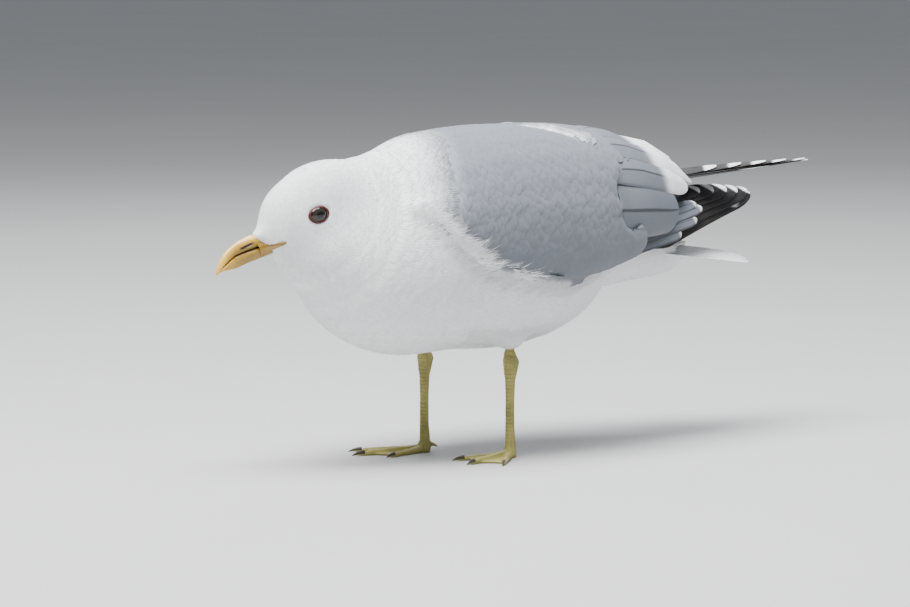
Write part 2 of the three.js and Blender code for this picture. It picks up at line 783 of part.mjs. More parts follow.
/** The feathered shin, from the belly to just above the leg's joint. */
const thigh = () =>
  column(
    [
      { z: LEG_TOP + GAP, x: -0.4, halfX: 5.5, halfY: 5.0 },
      { z: 68, x: -0.5, halfX: 9.5, halfY: 8.5 },
      { z: 74, x: -1, halfX: 14, halfY: 11.5 },
      { z: 84, x: -2, halfX: 18, halfY: 13 },
      { z: 96, x: -3, halfX: 20, halfY: 13.5 },
    ],
    14,
  );

/** A toe with its claw, lying forward along -X from the heel, pressed a little into the floor. */
function toe({ length, angle, radius }) {
  const rings = [];
  const thickness = [[0, 1.25], [0.12, 1.1], [0.35, 1.0], [0.7, 0.85], [0.92, 0.72], [1.0, 0.5]];
  for (const [t, thick] of thickness) {
    const half = radius * thick;
    rings.push(toeRing(-t * length, half - TOE_SINK, half, half));
  }
  for (const t of [0.5, 1]) {
    const half = radius * lerp(0.4, 0.16, t);
    rings.push(toeRing(-length - CLAW_LENGTH * t, lerp(1.7, 0.7, t), half, 1.5 * half));
  }
  return loft(rings).rotate([0, 0, THREE.MathUtils.radToDeg(-angle)]);
}

function toeRing(x, z, halfY, halfZ, sides = 6) {
  return Array.from({ length: sides }, (_, s) => {
    const turn = (2 * Math.PI * s) / sides;
    return new THREE.Vector3(x, halfY * Math.cos(turn), z + halfZ * Math.sin(turn));
  });
}

/** The web between two toes, scooped along its free edge. */
function web(toeA, toeB) {
  const tip = (t, share) =>
    new THREE.Vector2(-Math.cos(t.angle) * t.length * share, Math.sin(t.angle) * t.length * share);
  const shape = new THREE.Shape();
  const a = tip(toeA, 0.9);
  const b = tip(toeB, 0.9);
  const scoop = a.clone().add(b).multiplyScalar(0.5 * 0.86);
  shape.moveTo(0, 0);
  shape.lineTo(a.x, a.y);
  shape.quadraticCurveTo(scoop.x, scoop.y, b.x, b.y);
  shape.lineTo(0, 0);
  const geometry = new THREE.ExtrudeGeometry(shape, { depth: WEB_THICK, bevelEnabled: false, curveSegments: 4 });
  geometry.translate(0, 0, 0.25);
  return solidOf(geometry);
}

/** The small hind toe, clear of the floor. */
function hindToe(side) {
  const ring = (x, z, half) => toeRing(x, z, half, half, 6);
  const solid = loft([ring(1, 4.9, 1.6), ring(4.5, 5.0, 1.3), ring(6.8, 4.2, 0.9), ring(8.6, 3.0, 0.35)]);
  return solid.rotate([0, 0, side * -25]);
}

function foot(side) {
  const heel = column([
    { z: -0.6, x: -1.2, halfX: 4.2, halfY: 3.9 },
    { z: 1.5, x: -1.0, halfX: 5.0, halfY: 4.6 },
    { z: 4.2, x: -0.4, halfX: 4.5, halfY: 4.0 },
    { z: ANKLE_HEIGHT - GAP, x: 0.3, halfX: 3.6, halfY: 3.2 },
  ]);
  const spread = TOES.map((t) => ({ ...t, angle: side * t.angle }));
  let solid = heel.add(hindToe(side));
  for (const t of spread) {
    solid = solid.add(toe(t));
  }
  solid = solid.add(web(spread[0], spread[1])).add(web(spread[1], spread[2]));
  return solid.subtract(block([-80, -60, -20], [30, 60, 0]));
}

// ---- the bird -------------------------------------------------------------------------------

const gull = new THREE.Group();

function addPart(name, solid, material, { parent = gull, detail = DETAIL } = {}) {
  const mesh = new THREE.Mesh(geometryOf(solid, detail), material);
  mesh.name = name;
  parent.add(mesh);
  return mesh;
}

function buildHead() {
  const upper = inHead(billHalf(true).subtract(nostrils()));
  const lower = inHead(billHalf(false).subtract(billHalf(true, GAP)));
  let head = bodyParts.head;
  head = head.subtract(inHead(billHalf(true, GAP))).subtract(inHead(billHalf(false, GAP)));
  for (const [side, label] of [[LEFT, 'left'], [RIGHT, 'right']]) {
    const inFrame = -side; // the head frame's y runs to the bird's left
    const ring = inHead(eyeRing(inFrame).subtract(eyeball(inFrame, GAP)));
    head = head.subtract(inHead(eyeball(inFrame, GAP))).subtract(inHead(eyeRing(inFrame, GAP)));
    addPart(`eye_${label}`, inHead(eyeball(inFrame)), eyeBrown());
    addPart(`eye_ring_${label}`, ring, ringRed());
  }
  addPart('head', head, white());
  addPart('bill_upper', upper, billHorn());
  addPart('bill_lower', lower, billHorn());
}

function buildBody() {
  addPart('neck', bodyParts.neck, white());
  addPart('trunk', bodyParts.trunk, white());
  addPart('rump', bodyParts.rump.subtract(tailRoom()), white());
}

function buildTail() {
  for (const [side, label] of [[LEFT, 'left'], [RIGHT, 'right']]) {
    for (let pair = 0; pair < RECTRIX.pairs; pair += 1) {
      addPart(`tail_feather_${label}_${pair + 1}`, rectrix(side, pair), white());
    }
  }
}

function buildWing(side, label, room) {
  addPart(`wing_coverts_${label}`, cloakPatch(side, COVERTS, 8, 4).subtract(room), grey());
  addPart(`scapulars_${label}`, cloakPatch(side, SCAPULARS, 7, 4), grey());
  addPart(`secondaries_${label}`, cloakPatch(side, SECONDARIES, 4, 3).subtract(room), grey());
  TERTIAL_ROWS.forEach((row, i) => {
    addPart(`tertial_${label}_${i + 1}`, tertial(side, row).subtract(room), grey());
  });
  for (let number = 0; number < PRIMARY.count; number += 1) {
    const feather = primary(side, FLIGHT[label], number).subtract(grownBody);
    addPart(`primary_${label}_${10 - number}`, feather, black(), { detail: BLADE_DETAIL });
  }
}

function buildLeg(side, label) {
  const leg = new THREE.Group();
  leg.position.set(side * -HEEL_LEAD, side * HEEL_SPREAD, 0);
  addPart(`tarsus_${label}`, tarsus(), legSkin(), { parent: leg });
  const feathered = thigh().translate([leg.position.x, leg.position.y, 0]).subtract(grownBody);
  addPart(`thigh_${label}`, feathered, white());
  const turned = new THREE.Group();
  turned.rotation.z = -side * TOE_OUT;
  addPart(`foot_${label}`, foot(side), legSkin(), { parent: turned });
  leg.add(turned);
  gull.add(leg);
}

buildHead();
buildBody();
buildTail();
const bothRooms = primaryRoom(LEFT, FLIGHT.left).add(primaryRoom(RIGHT, FLIGHT.right));
for (const [side, label] of [[LEFT, 'left'], [RIGHT, 'right']]) {
  buildWing(side, label, bothRooms);
  buildLeg(side, label);
}

gull.updateMatrixWorld(true);
const middle = new THREE.Box3().setFromObject(gull, true).getCenter(new THREE.Vector3());
gull.position.set(-middle.x, -middle.y, 0);
gull.updateMatrixWorld(true);

export default gull;
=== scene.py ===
"""A common gull in summer dress: one feathered skin, long wing and tail feathers laid on it one
by one, and the bare parts: eyes, bill, legs, webs and claws."""

import math

import bmesh
import bpy
import numpy as np
from mathutils import Matrix, Vector
from mathutils.bvhtree import BVHTree

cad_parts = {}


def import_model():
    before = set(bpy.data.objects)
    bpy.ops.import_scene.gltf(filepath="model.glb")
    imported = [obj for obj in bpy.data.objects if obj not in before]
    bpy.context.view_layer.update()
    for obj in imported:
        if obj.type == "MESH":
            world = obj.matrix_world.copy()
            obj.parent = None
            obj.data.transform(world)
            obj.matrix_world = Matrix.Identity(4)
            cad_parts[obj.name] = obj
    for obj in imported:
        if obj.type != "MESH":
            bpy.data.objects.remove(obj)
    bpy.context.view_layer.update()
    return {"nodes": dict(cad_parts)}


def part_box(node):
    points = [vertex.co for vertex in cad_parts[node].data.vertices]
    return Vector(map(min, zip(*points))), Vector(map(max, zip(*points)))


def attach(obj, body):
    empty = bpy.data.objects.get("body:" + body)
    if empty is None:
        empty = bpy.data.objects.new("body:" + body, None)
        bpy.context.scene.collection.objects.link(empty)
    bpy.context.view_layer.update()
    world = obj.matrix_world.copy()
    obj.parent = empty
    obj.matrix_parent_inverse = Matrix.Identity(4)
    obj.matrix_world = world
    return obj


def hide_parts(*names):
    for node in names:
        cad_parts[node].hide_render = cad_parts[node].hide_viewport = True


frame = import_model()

NODES = frame["nodes"]
rng = np.random.default_rng(7)

# ---- laying out --------------------------------------------------------------------------------
# Sizes are in millimetres from the point on the floor midway between the heels, with the bird
# facing -X and its left side at -Y, and are turned into the row frame's metres as a mesh is made.

MM = 0.001
LAID_OUT_AT = np.array([-40.2222, 0.0, 0.0])
SIDES = {"left": -1, "right": 1}

HEAD_AT = np.array([-127.1, 3.7, 153.6])
HEAD_TURN = math.radians(12)
HEAD_DIP = math.radians(21)


def head_axes():
    """Forward, left and up of the head, as the columns of a matrix."""
    level = np.array([-math.cos(HEAD_TURN), math.sin(HEAD_TURN), 0.0])
    left = np.cross([0, 0, 1], level)
    forward = level * math.cos(HEAD_DIP) + np.array([0, 0, -math.sin(HEAD_DIP)])
    return np.column_stack([forward, left, np.cross(forward, left)])


HEAD_AXES = head_axes()


def to_row(points):
    return (np.asarray(points, float) + LAID_OUT_AT) * MM


def from_row(points):
    return np.asarray(points, float) / MM - LAID_OUT_AT


def from_head(points):
    """Points given forward, left and up of the middle of the head."""
    return np.asarray(points, float) @ HEAD_AXES.T + HEAD_AT


def in_head(points):
    return (np.asarray(points, float) - HEAD_AT) @ HEAD_AXES


def ease(value, start, end):
    """0 up to start, 1 from end, and a smooth climb between."""
    t = np.clip((np.asarray(value, float) - start) / (end - start), 0, 1)
    return t * t * (3 - 2 * t)


def unit(vectors):
    return vectors / np.maximum(np.linalg.norm(vectors, axis=-1, keepdims=True), 1e-9)


# ---- meshes ------------------------------------------------------------------------------------


def new_object(name, points, faces, smooth=True):
    """An object from points in the layout's millimetres."""
    mesh = bpy.data.meshes.new(name)
    mesh.from_pydata(to_row(points).tolist(), [], [list(f) for f in faces])
    mesh.update()
    mesh.polygons.foreach_set("use_smooth", [smooth] * len(mesh.polygons))
    shown = bpy.data.objects.new(name, mesh)
    bpy.context.scene.collection.objects.link(shown)
    return shown


def points_of(shown):
    co = np.empty(len(shown.data.vertices) * 3)
    shown.data.vertices.foreach_get("co", co)
    return from_row(co.reshape(-1, 3))


def normals_of(shown):
    no = np.empty(len(shown.data.vertices) * 3)
    shown.data.vertices.foreach_get("normal", no)
    return no.reshape(-1, 3)


def move_points(shown, points):
    shown.data.vertices.foreach_set("co", to_row(points).ravel())
    shown.data.update()


def set_value(shown, name, values):
    """One number for each point of a mesh, for its material to read."""
    attribute = shown.data.attributes.new(name, "FLOAT", "POINT")
    attribute.data.foreach_set("value", np.asarray(values, np.float32))


def swollen(node, swell):
    """The points and faces of a CAD node, welded and swollen a little."""
    work = bmesh.new()
    work.from_mesh(NODES[node].data)
    bmesh.ops.remove_doubles(work, verts=work.verts, dist=1e-5)
    work.normal_update()
    points = np.array([v.co + v.normal * swell * MM for v in work.verts])
    faces = [[v.index for v in f.verts] for f in work.faces]
    work.free()
    return from_row(points), faces


def grown_together(name, nodes, swell, voxel, extra=()):
    """CAD nodes, and extra lumps, run together into one even mesh with no seam between them."""
    points, faces, count = [], [], 0
    for p, f in [swollen(node, swell) for node in nodes] + list(extra):
        points.append(p)
        faces += [[i + count for i in face] for face in f]
        count += len(p)
    rough = new_object(name + "_rough", np.vstack(points), faces)
    even = rough.modifiers.new("even", "REMESH")
    even.mode = "VOXEL"
    even.voxel_size = voxel * MM
    mesh = bpy.data.meshes.new_from_object(rough.evaluated_get(bpy.context.evaluated_depsgraph_get()))
    bpy.data.objects.remove(rough)
    mesh.name = name
    mesh.polygons.foreach_set("use_smooth", [True] * len(mesh.polygons))
    shown = bpy.data.objects.new(name, mesh)
    bpy.context.scene.collection.objects.link(shown)
    return shown


def relax(points, edges, times, weight):
    """Points drawn towards the middle of their neighbours."""
    count = np.bincount(edges.ravel(), minlength=len(points)).astype(float)
    for _ in range(times):
        total = np.zeros_like(points)
        for axis in range(3):
            total[:, axis] += np.bincount(edges[:, 0], points[edges[:, 1], axis], len(points))
            total[:, axis] += np.bincount(edges[:, 1], points[edges[:, 0], axis], len(points))
        middle = total / count[:, None]
        points = points + (middle - points) * (0.5 * weight)[:, None]
    return points


def edges_of(shown):
    edges = np.empty(len(shown.data.edges) * 2, np.int64)
    shown.data.edges.foreach_get("vertices", edges)
    return edges.reshape(-1, 2)


def grid_faces(rows, columns, start=0, around=False):
    """Quads over a grid of points, with its columns joined up where it goes around."""
    faces = []
    for r in range(rows - 1):
        for c in range(columns if around else columns - 1):
            d = (c + 1) % columns
            a = start + r * columns
            faces.append((a + c, a + d, a + columns + d, a + columns + c))
    return faces


def closed_loft(rings):
    """Points and faces of rings skinned over, with a fan at each end."""
    rings = [np.asarray(ring, float) for ring in rings]
    sides = len(rings[0])
    points = np.vstack(rings + [rings[0].mean(0), rings[-1].mean(0)])
    faces = grid_faces(len(rings), sides, around=True)
    first, last = len(rings) * sides, (len(rings) - 1) * sides
    faces += [(first, (s + 1) % sides, s) for s in range(sides)]
    faces += [(first + 1, last + s, last + (s + 1) % sides) for s in range(sides)]
    return points, faces


def facing_out(shown):
    """The mesh with all its faces turned outwards."""
    work = bmesh.new()
    work.from_mesh(shown.data)
    bmesh.ops.recalc_face_normals(work, faces=work.faces)
    work.to_mesh(shown.data)
    work.free()
    return shown


def fit(piece, material, slot, *replaced):
    """Gives a piece its material and ties it to the frame."""
    piece.data.materials.clear()
    piece.data.materials.append(material)
    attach(piece, "root")
    if replaced:
        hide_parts(*replaced)
    return piece


# ---- shader groups -----------------------------------------------------------------------------


def socket(group, name, kind, is_input, default=None):
    made = group.interface.new_socket(
        name=name, in_out="INPUT" if is_input else "OUTPUT", socket_type="NodeSocket" + kind
    )
    if default is not None:
        made.default_value = default
    return made


def new_group(name, inputs, outputs):
    group = bpy.data.node_groups.new(name, "ShaderNodeTree")
    for label, kind, default in inputs:
        socket(group, label, kind, True, default)
    for label, kind in outputs:
        socket(group, label, kind, False)
    return group, group.nodes.new("NodeGroupInput"), group.nodes.new("NodeGroupOutput")


class Wiring:
    """Short calls for adding nodes to one tree and joining them up."""

    def __init__(self, tree):
        self.tree = tree

    def put(self, target, value):
        if isinstance(value, bpy.types.NodeSocket):
            self.tree.links.new(value, target)
        else:
            target.default_value = value

    def node(self, kind, settings=None, **inputs):
        made = self.tree.nodes.new("ShaderNode" + kind)
        for key, value in (settings or {}).items():
            setattr(made, key, value)
        for key, value in inputs.items():
            self.put(made.inputs[key.replace("_", " ")], value)
        return made

    def math(self, operation, a, b=0.0, clamp=False):
        made = self.tree.nodes.new("ShaderNodeMath")
        made.operation, made.use_clamp = operation, clamp
        self.put(made.inputs[0], a)
        self.put(made.inputs[1], b)
        return made.outputs[0]

    def mix(self, share, a, b, blend="MIX"):
        made = self.tree.nodes.new("ShaderNodeMix")
        made.data_type, made.blend_type = "RGBA", blend
        self.put(made.inputs[0], share)
        self.put(made.inputs[6], a)
        self.put(made.inputs[7], b)
        return made.outputs[2]

    def span(self, value, low, high, to_low=0.0, to_high=1.0):
        made = self.tree.nodes.new("ShaderNodeMapRange")
        made.interpolation_type = "SMOOTHSTEP"
        for i, v in enumerate((value, low, high, to_low, to_high)):
            self.put(made.inputs[i], v)
        return made.outputs[0]

    def value_of(self, name):
        """A number that the mesh carries for each point."""
        return self.node("Attribute", {"attribute_name": name}).outputs["Fac"]

    def place(self, stretch=(1, 1, 1)):
        """Where a point of the surface is, with its axes stretched."""
        coordinates = self.node("TexCoord").outputs["Object"]
        mapping = self.node("Mapping", Vector=coordinates)
        mapping.inputs["Scale"].default_value = stretch
        return mapping.outputs[0]

    def noise(self, place, scale, detail=3.0, roughness=0.55):
        made = self.node("TexNoise", Vector=place)
        for key, value in (("Scale", scale), ("Detail", detail), ("Roughness", roughness)):
            self.put(made.inputs[key], value)
        return made.outputs["Fac"]

    def group(self, group, **inputs):
        made = self.tree.nodes.new("ShaderNodeGroup")
        made.node_tree = group
        for key, value in inputs.items():
            self.put(made.inputs[key.replace("_", " ")], value)
        return made.outputs


def barb_group():
    """The fine barbs that slant out from a feather's shaft, and the shaft itself."""
    group, put_in, put_out = new_group(
        "feather_barbs",
        [("Along", "Float", 0.0), ("Across", "Float", 0.0), ("Count", "Float", 60.0), ("Slant", "Float", 0.35)],
        [("Height", "Float"), ("Shade", "Float"), ("Shaft", "Float")],
    )
    w = Wiring(group)
    out = w.math("ABSOLUTE", put_in.outputs["Across"])
    slanted = w.math("SUBTRACT", put_in.outputs["Along"], w.math("MULTIPLY", out, put_in.outputs["Slant"]))
    wave = w.math("SINE", w.math("MULTIPLY", w.math("MULTIPLY", slanted, put_in.outputs["Count"]), 6.2832))
    uneven = w.noise(w.place((1, 1, 1)), 260.0)
    shaft = w.span(out, 0.03, 0.09, 1.0, 0.0)
    lines = w.math("ADD", w.math("MULTIPLY", wave, 0.5), uneven)
    group.links.new(w.math("ADD", lines, w.math("MULTIPLY", shaft, 2.0)), put_out.inputs["Height"])
    group.links.new(w.span(wave, -1.0, 1.0, 0.94, 1.03), put_out.inputs["Shade"])
    group.links.new(shaft, put_out.inputs["Shaft"])
    return group


def down_group():
    """The faint unevenness of dense soft plumage."""
    group, put_in, put_out = new_group(
        "soft_plumage",
        [("Tint", "Color", (0.8, 0.8, 0.8, 1)), ("Tone", "Float", 0.5), ("Spread", "Float", 0.06)],
        [("Color", "Color"), ("Roughness", "Float"), ("Height", "Float")],
    )
    w = Wiring(group)
    broad = w.noise(w.place((1, 1, 1)), 28.0, 2.0)
    streak = w.noise(w.place((0.35, 1, 1)), 900.0, 2.0)
    spread = put_in.outputs["Spread"]
    shift = w.math("SUBTRACT", w.math("ADD", w.math("MULTIPLY", broad, 0.6), w.math("MULTIPLY", put_in.outputs["Tone"], 0.4)), 0.5)
    level = w.math("ADD", 1.0, w.math("MULTIPLY", shift, w.math("MULTIPLY", spread, 2.0)))
    level = w.math("MULTIPLY", level, w.span(streak, 0.3, 0.7, 0.985, 1.01))
    grey = w.node("CombineColor", Red=level, Green=level, Blue=level).outputs[0]
    group.links.new(w.mix(1.0, put_in.outputs["Tint"], grey, "MULTIPLY"), put_out.inputs["Color"])
    group.links.new(w.span(broad, 0.3, 0.7, 0.62, 0.8), put_out.inputs["Roughness"])
    group.links.new(streak, put_out.inputs["Height"])
    return group


def scale_group():
    """Small plates of horny skin, with dirt in the joints between them."""
    group, put_in, put_out = new_group(
        "horny_scales",
        [("Size", "Float", 700.0), ("Light", "Color", (0.5, 0.5, 0.2, 1)), ("Dark", "Color", (0.2, 0.2, 0.1, 1))],
        [("Color", "Color"), ("Roughness", "Float"), ("Height", "Float")],
    )
    w = Wiring(group)
    plates = w.node("TexVoronoi", {"feature": "DISTANCE_TO_EDGE"}, Vector=w.place((1, 1, 1.5)), Scale=put_in.outputs["Size"])
    edge = w.span(plates.outputs[0], 0.02, 0.16)
    blotch = w.noise(w.place(), 60.0, 4.0)
    joint = w.mix(w.span(edge, 0.0, 1.0, 0.45, 0.0), put_in.outputs["Light"], put_in.outputs["Dark"])
    group.links.new(w.mix(w.span(blotch, 0.45, 0.7, 0.0, 0.5), joint, put_in.outputs["Dark"]), put_out.inputs["Color"])
    group.links.new(w.span(blotch, 0.3, 0.7, 0.42, 0.62), put_out.inputs["Roughness"])
    group.links.new(edge, put_out.inputs["Height"])
    return group


BARBS = barb_group()
DOWN = down_group()
SCALES = scale_group()

# ---- finishes ----------------------------------------------------------------------------------

WHITE = (0.85, 0.86, 0.875, 1)
ASH = (0.155, 0.169, 0.198, 1)
# the darker grey of the shade painted on the lores
LORE_SHADE_GREY = (0.42, 0.43, 0.46, 1)
BLACK = (0.012, 0.011, 0.012, 1)
BROWN = (0.022, 0.018, 0.016, 1)


def new_material(name, roughness=0.7):
    material = bpy.data.materials.new(name)
    material.use_nodes = True
    w = Wiring(material.node_tree)
    shader = material.node_tree.nodes["Principled BSDF"]
    shader.inputs["Roughness"].default_value = roughness
    return material, w, shader


def add_bump(w, shader, height, strength, distance):
    bump = w.node("Bump", Height=height)
    bump.inputs["Strength"].default_value = strength
    bump.inputs["Distance"].default_value = distance * MM
    w.put(shader.inputs["Normal"], bump.outputs[0])


def plumage_material():
    """Small feathers, and the skin under them: white, ash grey where `ash` says so, and a little darker on the lores,
    where shade is painted.
    """
    material, w, shader = new_material("plumage")
    tint = w.mix(w.value_of("ash"), WHITE, ASH)
    # painted shade: the lore before each eye is mixed a little towards a darker grey
    tint = w.mix(w.value_of("painted_shade"), tint, LORE_SHADE_GREY)
    soft = w.group(DOWN, Tint=tint, Tone=w.value_of("tone"), Spread=0.07)
    w.put(shader.inputs["Base Color"], soft["Color"])
    w.put(shader.inputs["Roughness"], soft["Roughness"])
    shader.inputs["Sheen Weight"].default_value = 0.15
    shader.inputs["Sheen Roughness"].default_value = 0.5
    shader.inputs["Specular IOR Level"].default_value = 0.2
    add_bump(w, shader, soft["Height"], 0.15, 0.15)
    return material


def vane_material(name, tint_of, gloss=0.5):
    """A long feather: barbs, a shaft, and its own tint, which `tint_of` wires up."""
    material, w, shader = new_material(name)
    lines = w.group(BARBS, Along=w.value_of("along"), Across=w.value_of("across"), Count=70.0)
    tint, shaft_tint = tint_of(w)
    level = w.node("CombineColor", Red=lines["Shade"], Green=lines["Shade"], Blue=lines["Shade"]).outputs[0]
    tint = w.mix(1.0, tint, level, "MULTIPLY")
    tint = w.mix(w.math("MULTIPLY", lines["Shaft"], 0.7), tint, shaft_tint)
    soft = w.group(DOWN, Tint=tint, Tone=w.value_of("tone"), Spread=0.06)
    w.put(shader.inputs["Base Color"], soft["Color"])
    w.put(shader.inputs["Roughness"], w.math("MULTIPLY", soft["Roughness"], gloss * 2))
    shader.inputs["Specular IOR Level"].default_value = 0.3
    add_bump(w, shader, lines["Height"], 0.35, 0.12)
    return material


def pied_tint(w):
    """Black with white where `pale` says so, and ash where `ash` does."""
    dark = w.mix(w.span(w.noise(w.place(), 30.0), 0.4, 0.7), BLACK, BROWN)
    tint = w.mix(w.value_of("ash"), dark, ASH)
    return w.mix(w.value_of("pale"), tint, WHITE), w.mix(w.value_of("pale"), BLACK, WHITE)


def white_tint(w):
    return w.mix(0.0, WHITE, WHITE), (0.7, 0.69, 0.66, 1)


PLUMAGE = plumage_material()
FLIGHT_VANE = vane_material("flight_feather", pied_tint, 0.42)
TAIL_VANE = vane_material("tail_feather", white_tint, 0.5)

# ---- the skin ----------------------------------------------------------------------------------

FLESH = ("head", "neck", "trunk", "rump", "thigh_left", "thigh_right")
WING_COVER = ("wing_coverts_left", "wing_coverts_right", "scapulars_left", "scapulars_right",
              "secondaries_left", "secondaries_right")
UNDER_EYES = ("eye_left", "eye_right", "eye_ring_left", "eye_ring_right")  # the skin runs on beneath
SKIN_VOXEL = 1.45
SKIN_SWELL = 0.35  # closes the thin cuts between the solids
COAT_DEPTH = {"head": 0.9, "body": 2.2, "wing": 1.5}
SKIN_RELAX = 36
STEP_RELAX = 70  # over the step where the wing coverts end

ARCH_HEIGHT = 135  # of the line that the folded wings curve round
WING_LOW = ([-84, -66, -40, 5, 36, 63, 98, 112], [30, 6, -14, -22, -26, -23, -18, -8])
MANTLE_FRONT = ([-22, 0, 15, 45, 90], [-50, -70, -73, -64, -44])
CRESCENT = {"from": (34, 80), "to": (58, 60), "wide": 3.1}  # white scapular tips: (x, roof angle)


def roof_angle(points):
    """How far round the back a point is: 0 at the bird's side and 90 in the middle of its back."""
    return np.degrees(np.arctan2(points[:, 2] - ARCH_HEIGHT, np.abs(points[:, 1])))


def tree_of(nodes):
    """All the triangles of some CAD nodes, to measure distances from."""
    points, faces, count = [], [], 0
    for node in nodes:
        p, f = swollen(node, 0)
        points += p.tolist()
        faces += [[i + count for i in face] for face in f]
        count += len(p)
    return BVHTree.FromPolygons(points, faces)


WING_TREE = tree_of(WING_COVER)
BODY_TREE = tree_of(FLESH)


def on_wing(points, angle):
    """1 on the low rear part of the folded wings and 0 on the body beneath them."""
    share = np.zeros(len(points))
    for i in np.flatnonzero((points[:, 0] > 30) & (np.abs(points[:, 1]) > 15) & (angle < 15)):
        place = Vector(points[i])
        share[i] = ease(BODY_TREE.find_nearest(place)[3] - WING_TREE.find_nearest(place)[3], -0.6, 1.2)
    return share


def crescent_share(points, angle):
    """1 on the white tips of the hindmost scapulars."""
    (x0, angle0), (x1, angle1) = CRESCENT["from"], CRESCENT["to"]
    along = (points[:, 0] - x0) / (x1 - x0)
    off = np.abs(angle - (angle0 + (angle1 - angle0) * along)) * 1.13
    return (1 - ease(off, CRESCENT["wide"] - 1, CRESCENT["wide"] + 1)) * ease(along, -0.12, 0.1) * (1 - ease(along, 0.95, 1.08))


def ash_share(points):
    """1 where the plumage is ash grey and 0 where it is white."""
    angle = roof_angle(points)
    behind_neck = ease(points[:, 0] - np.interp(angle, *MANTLE_FRONT), -15, 13)
    above_flank = ease(angle - np.interp(points[:, 0], *WING_LOW), -1.2, 1.8)
    above_flank = np.maximum(above_flank, on_wing(points, angle))
    return behind_neck * above_flank * (1 - crescent_share(points, angle))


def head_share(points):
    return 1 - ease(np.linalg.norm(points - HEAD_AT, axis=1), 30, 55)


def wing_share(points):
    """1 on the folded wings, for the depth and lie of their feathers."""
    return ash_share(points)


def painted_lore_shade(points):
    """Painted shade: how much the lore between the eye and the bill is made faintly darker."""
    forward, left, up = in_head(points).T
    lore = np.exp(-(((forward - 14) / 8) ** 2 + ((up + 1.5) / 3.2) ** 2))
    return 0.10 * lore * (np.abs(left) > 3)


def eye_middle(side):
    low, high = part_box(f"eye_{side}")
    return from_row((np.array(low) + np.array(high)) / 2)


EYE_HALF = (6.0, 4.9, 3.3)  # along and up the lids' opening, and outwards
EYE_SUNK = 1.3  # its middle, in from the ring
RING_LENGTH = 13.0
RING_HEIGHT = 10.6
RING_SLANT = math.radians(8)
EYES = {side: in_head(eye_middle(side)[None])[0] + [1.2, 0, 0] for side in SIDES}


def round_the_eye(places):
    """How far out from an eye's middle, with 1 at the outer edge of its ring."""
    forward, left, up = in_head(places).T
    forward, up = forward - EYES["left"][0], up - EYES["left"][2]
    cos, sin = math.cos(RING_SLANT), math.sin(RING_SLANT)
    along, above = forward * cos + up * sin, up * cos - forward * sin
    far = np.hypot(along / (RING_LENGTH / 2), above / (RING_HEIGHT / 2))
    return np.where(np.abs(left) > 8, far, 9.0)


BILL = {"tip": 67.8, "culmen_foot": 35.5, "gape": 14.6, "culmen_height": 1.8, "culmen_droop": 11.5,
        "gape_height": -11.6, "meet_rise": 6.2, "meet_fall": 4.6, "gonys": 54, "gonys_height": -12.8,
        "chin_height": -15.2, "half_width": 6.2}
COLLAR_FROM = 24
COLLAR_TO = 38.8


def bill_section(x, is_upper):
    """Top, bottom and half width of one half of the bill."""
    b = BILL
    along = float(np.clip((x - b["gape"]) / (b["tip"] - b["gape"]), 0, 1))
    on_culmen = float(np.clip((x - b["culmen_foot"]) / (b["tip"] - b["culmen_foot"]), 0, 1))
    past_gonys = float(np.clip((x - b["gonys"]) / (b["tip"] - b["gonys"]), 0, 1))
    rise = b["meet_rise"] * math.sin(min(along / 0.7, 1) * math.pi / 2)
    meet = b["gape_height"] + rise - b["meet_fall"] * float(ease(along, 0.7, 1.02))
    ridge = b["culmen_height"] - b["culmen_droop"] * on_culmen ** 3.8
    keel = b["chin_height"] + (b["gonys_height"] - b["chin_height"]) * min(along / 0.6, 1)
    chin = keel + (meet - 0.7 - keel) * past_gonys ** 1.6
    hook = 1.8 * float(ease(along, 0.88, 1)) if is_upper else 0
    width = b["half_width"] * (1 - 0.6 * along ** 0.9) * math.sqrt(max(1 - along ** 12, 0.02))
    if is_upper:
        return max(ridge, meet + 0.4), meet + 0.08 - hook, width
    return meet - 0.10, chin, width * 0.94


def collar():
    """The feathered brow that reaches forward over the foot of the bill."""
    rings = []
    for x in np.linspace(COLLAR_FROM, COLLAR_TO, 14):
        top, bottom, width = bill_section(x, True)
        past = (x - COLLAR_FROM) / (COLLAR_TO - COLLAR_FROM)
        proud = 2.3 - 0.5 * past - 1.3 * max(past - 0.9, 0) / 0.1
        turn = np.linspace(0, 2 * math.pi, 32, endpoint=False)
        rise = (np.sin(turn) + 1) / 2
        y = (width * (1 - 0.45 * rise ** 1.5) + proud) * np.sign(np.cos(turn)) * np.abs(np.cos(turn)) ** 0.6
        low = bottom + 2.4
        rings.append(from_head(np.stack([np.full_like(turn, x), y, low + (top + proud - low) * rise], axis=-1)))
    return closed_loft(rings)


def sinks_under_eye(points):
    """How much deeper the skin lies beneath the eyeballs."""
    return 2.4 * (1 - ease(round_the_eye(points), 0.72, 1.05))


def skin_piece():
    skin = grown_together("skin", FLESH + WING_COVER + UNDER_EYES, SKIN_SWELL, SKIN_VOXEL, [collar()])
    points, edges = points_of(skin), edges_of(skin)
    head = head_share(points)
    points = relax(points, edges, SKIN_RELAX, 1 - 0.55 * head)
    covert_ends = ease(points[:, 0], 58, 70) * ease(roof_angle(points), 2, 12)
    points = relax(points, edges, STEP_RELAX, covert_ends)
    move_points(skin, points)
    wing = wing_share(points) * (1 - head)
    depth = COAT_DEPTH["head"] * head + COAT_DEPTH["wing"] * wing
    depth += COAT_DEPTH["body"] * np.clip(1 - head - wing, 0, 1) + sinks_under_eye(points)
    points = points - normals_of(skin) * depth[:, None]
    points = relax(points, edges, 3, np.ones(len(points)))
    move_points(skin, points)
    set_value(skin, "ash", ash_share(points))
    # painted shade on the lores, carried by the skin
    set_value(skin, "painted_shade", painted_lore_shade(points))
    set_value(skin, "tone", np.full(len(points), 0.5))
    return skin


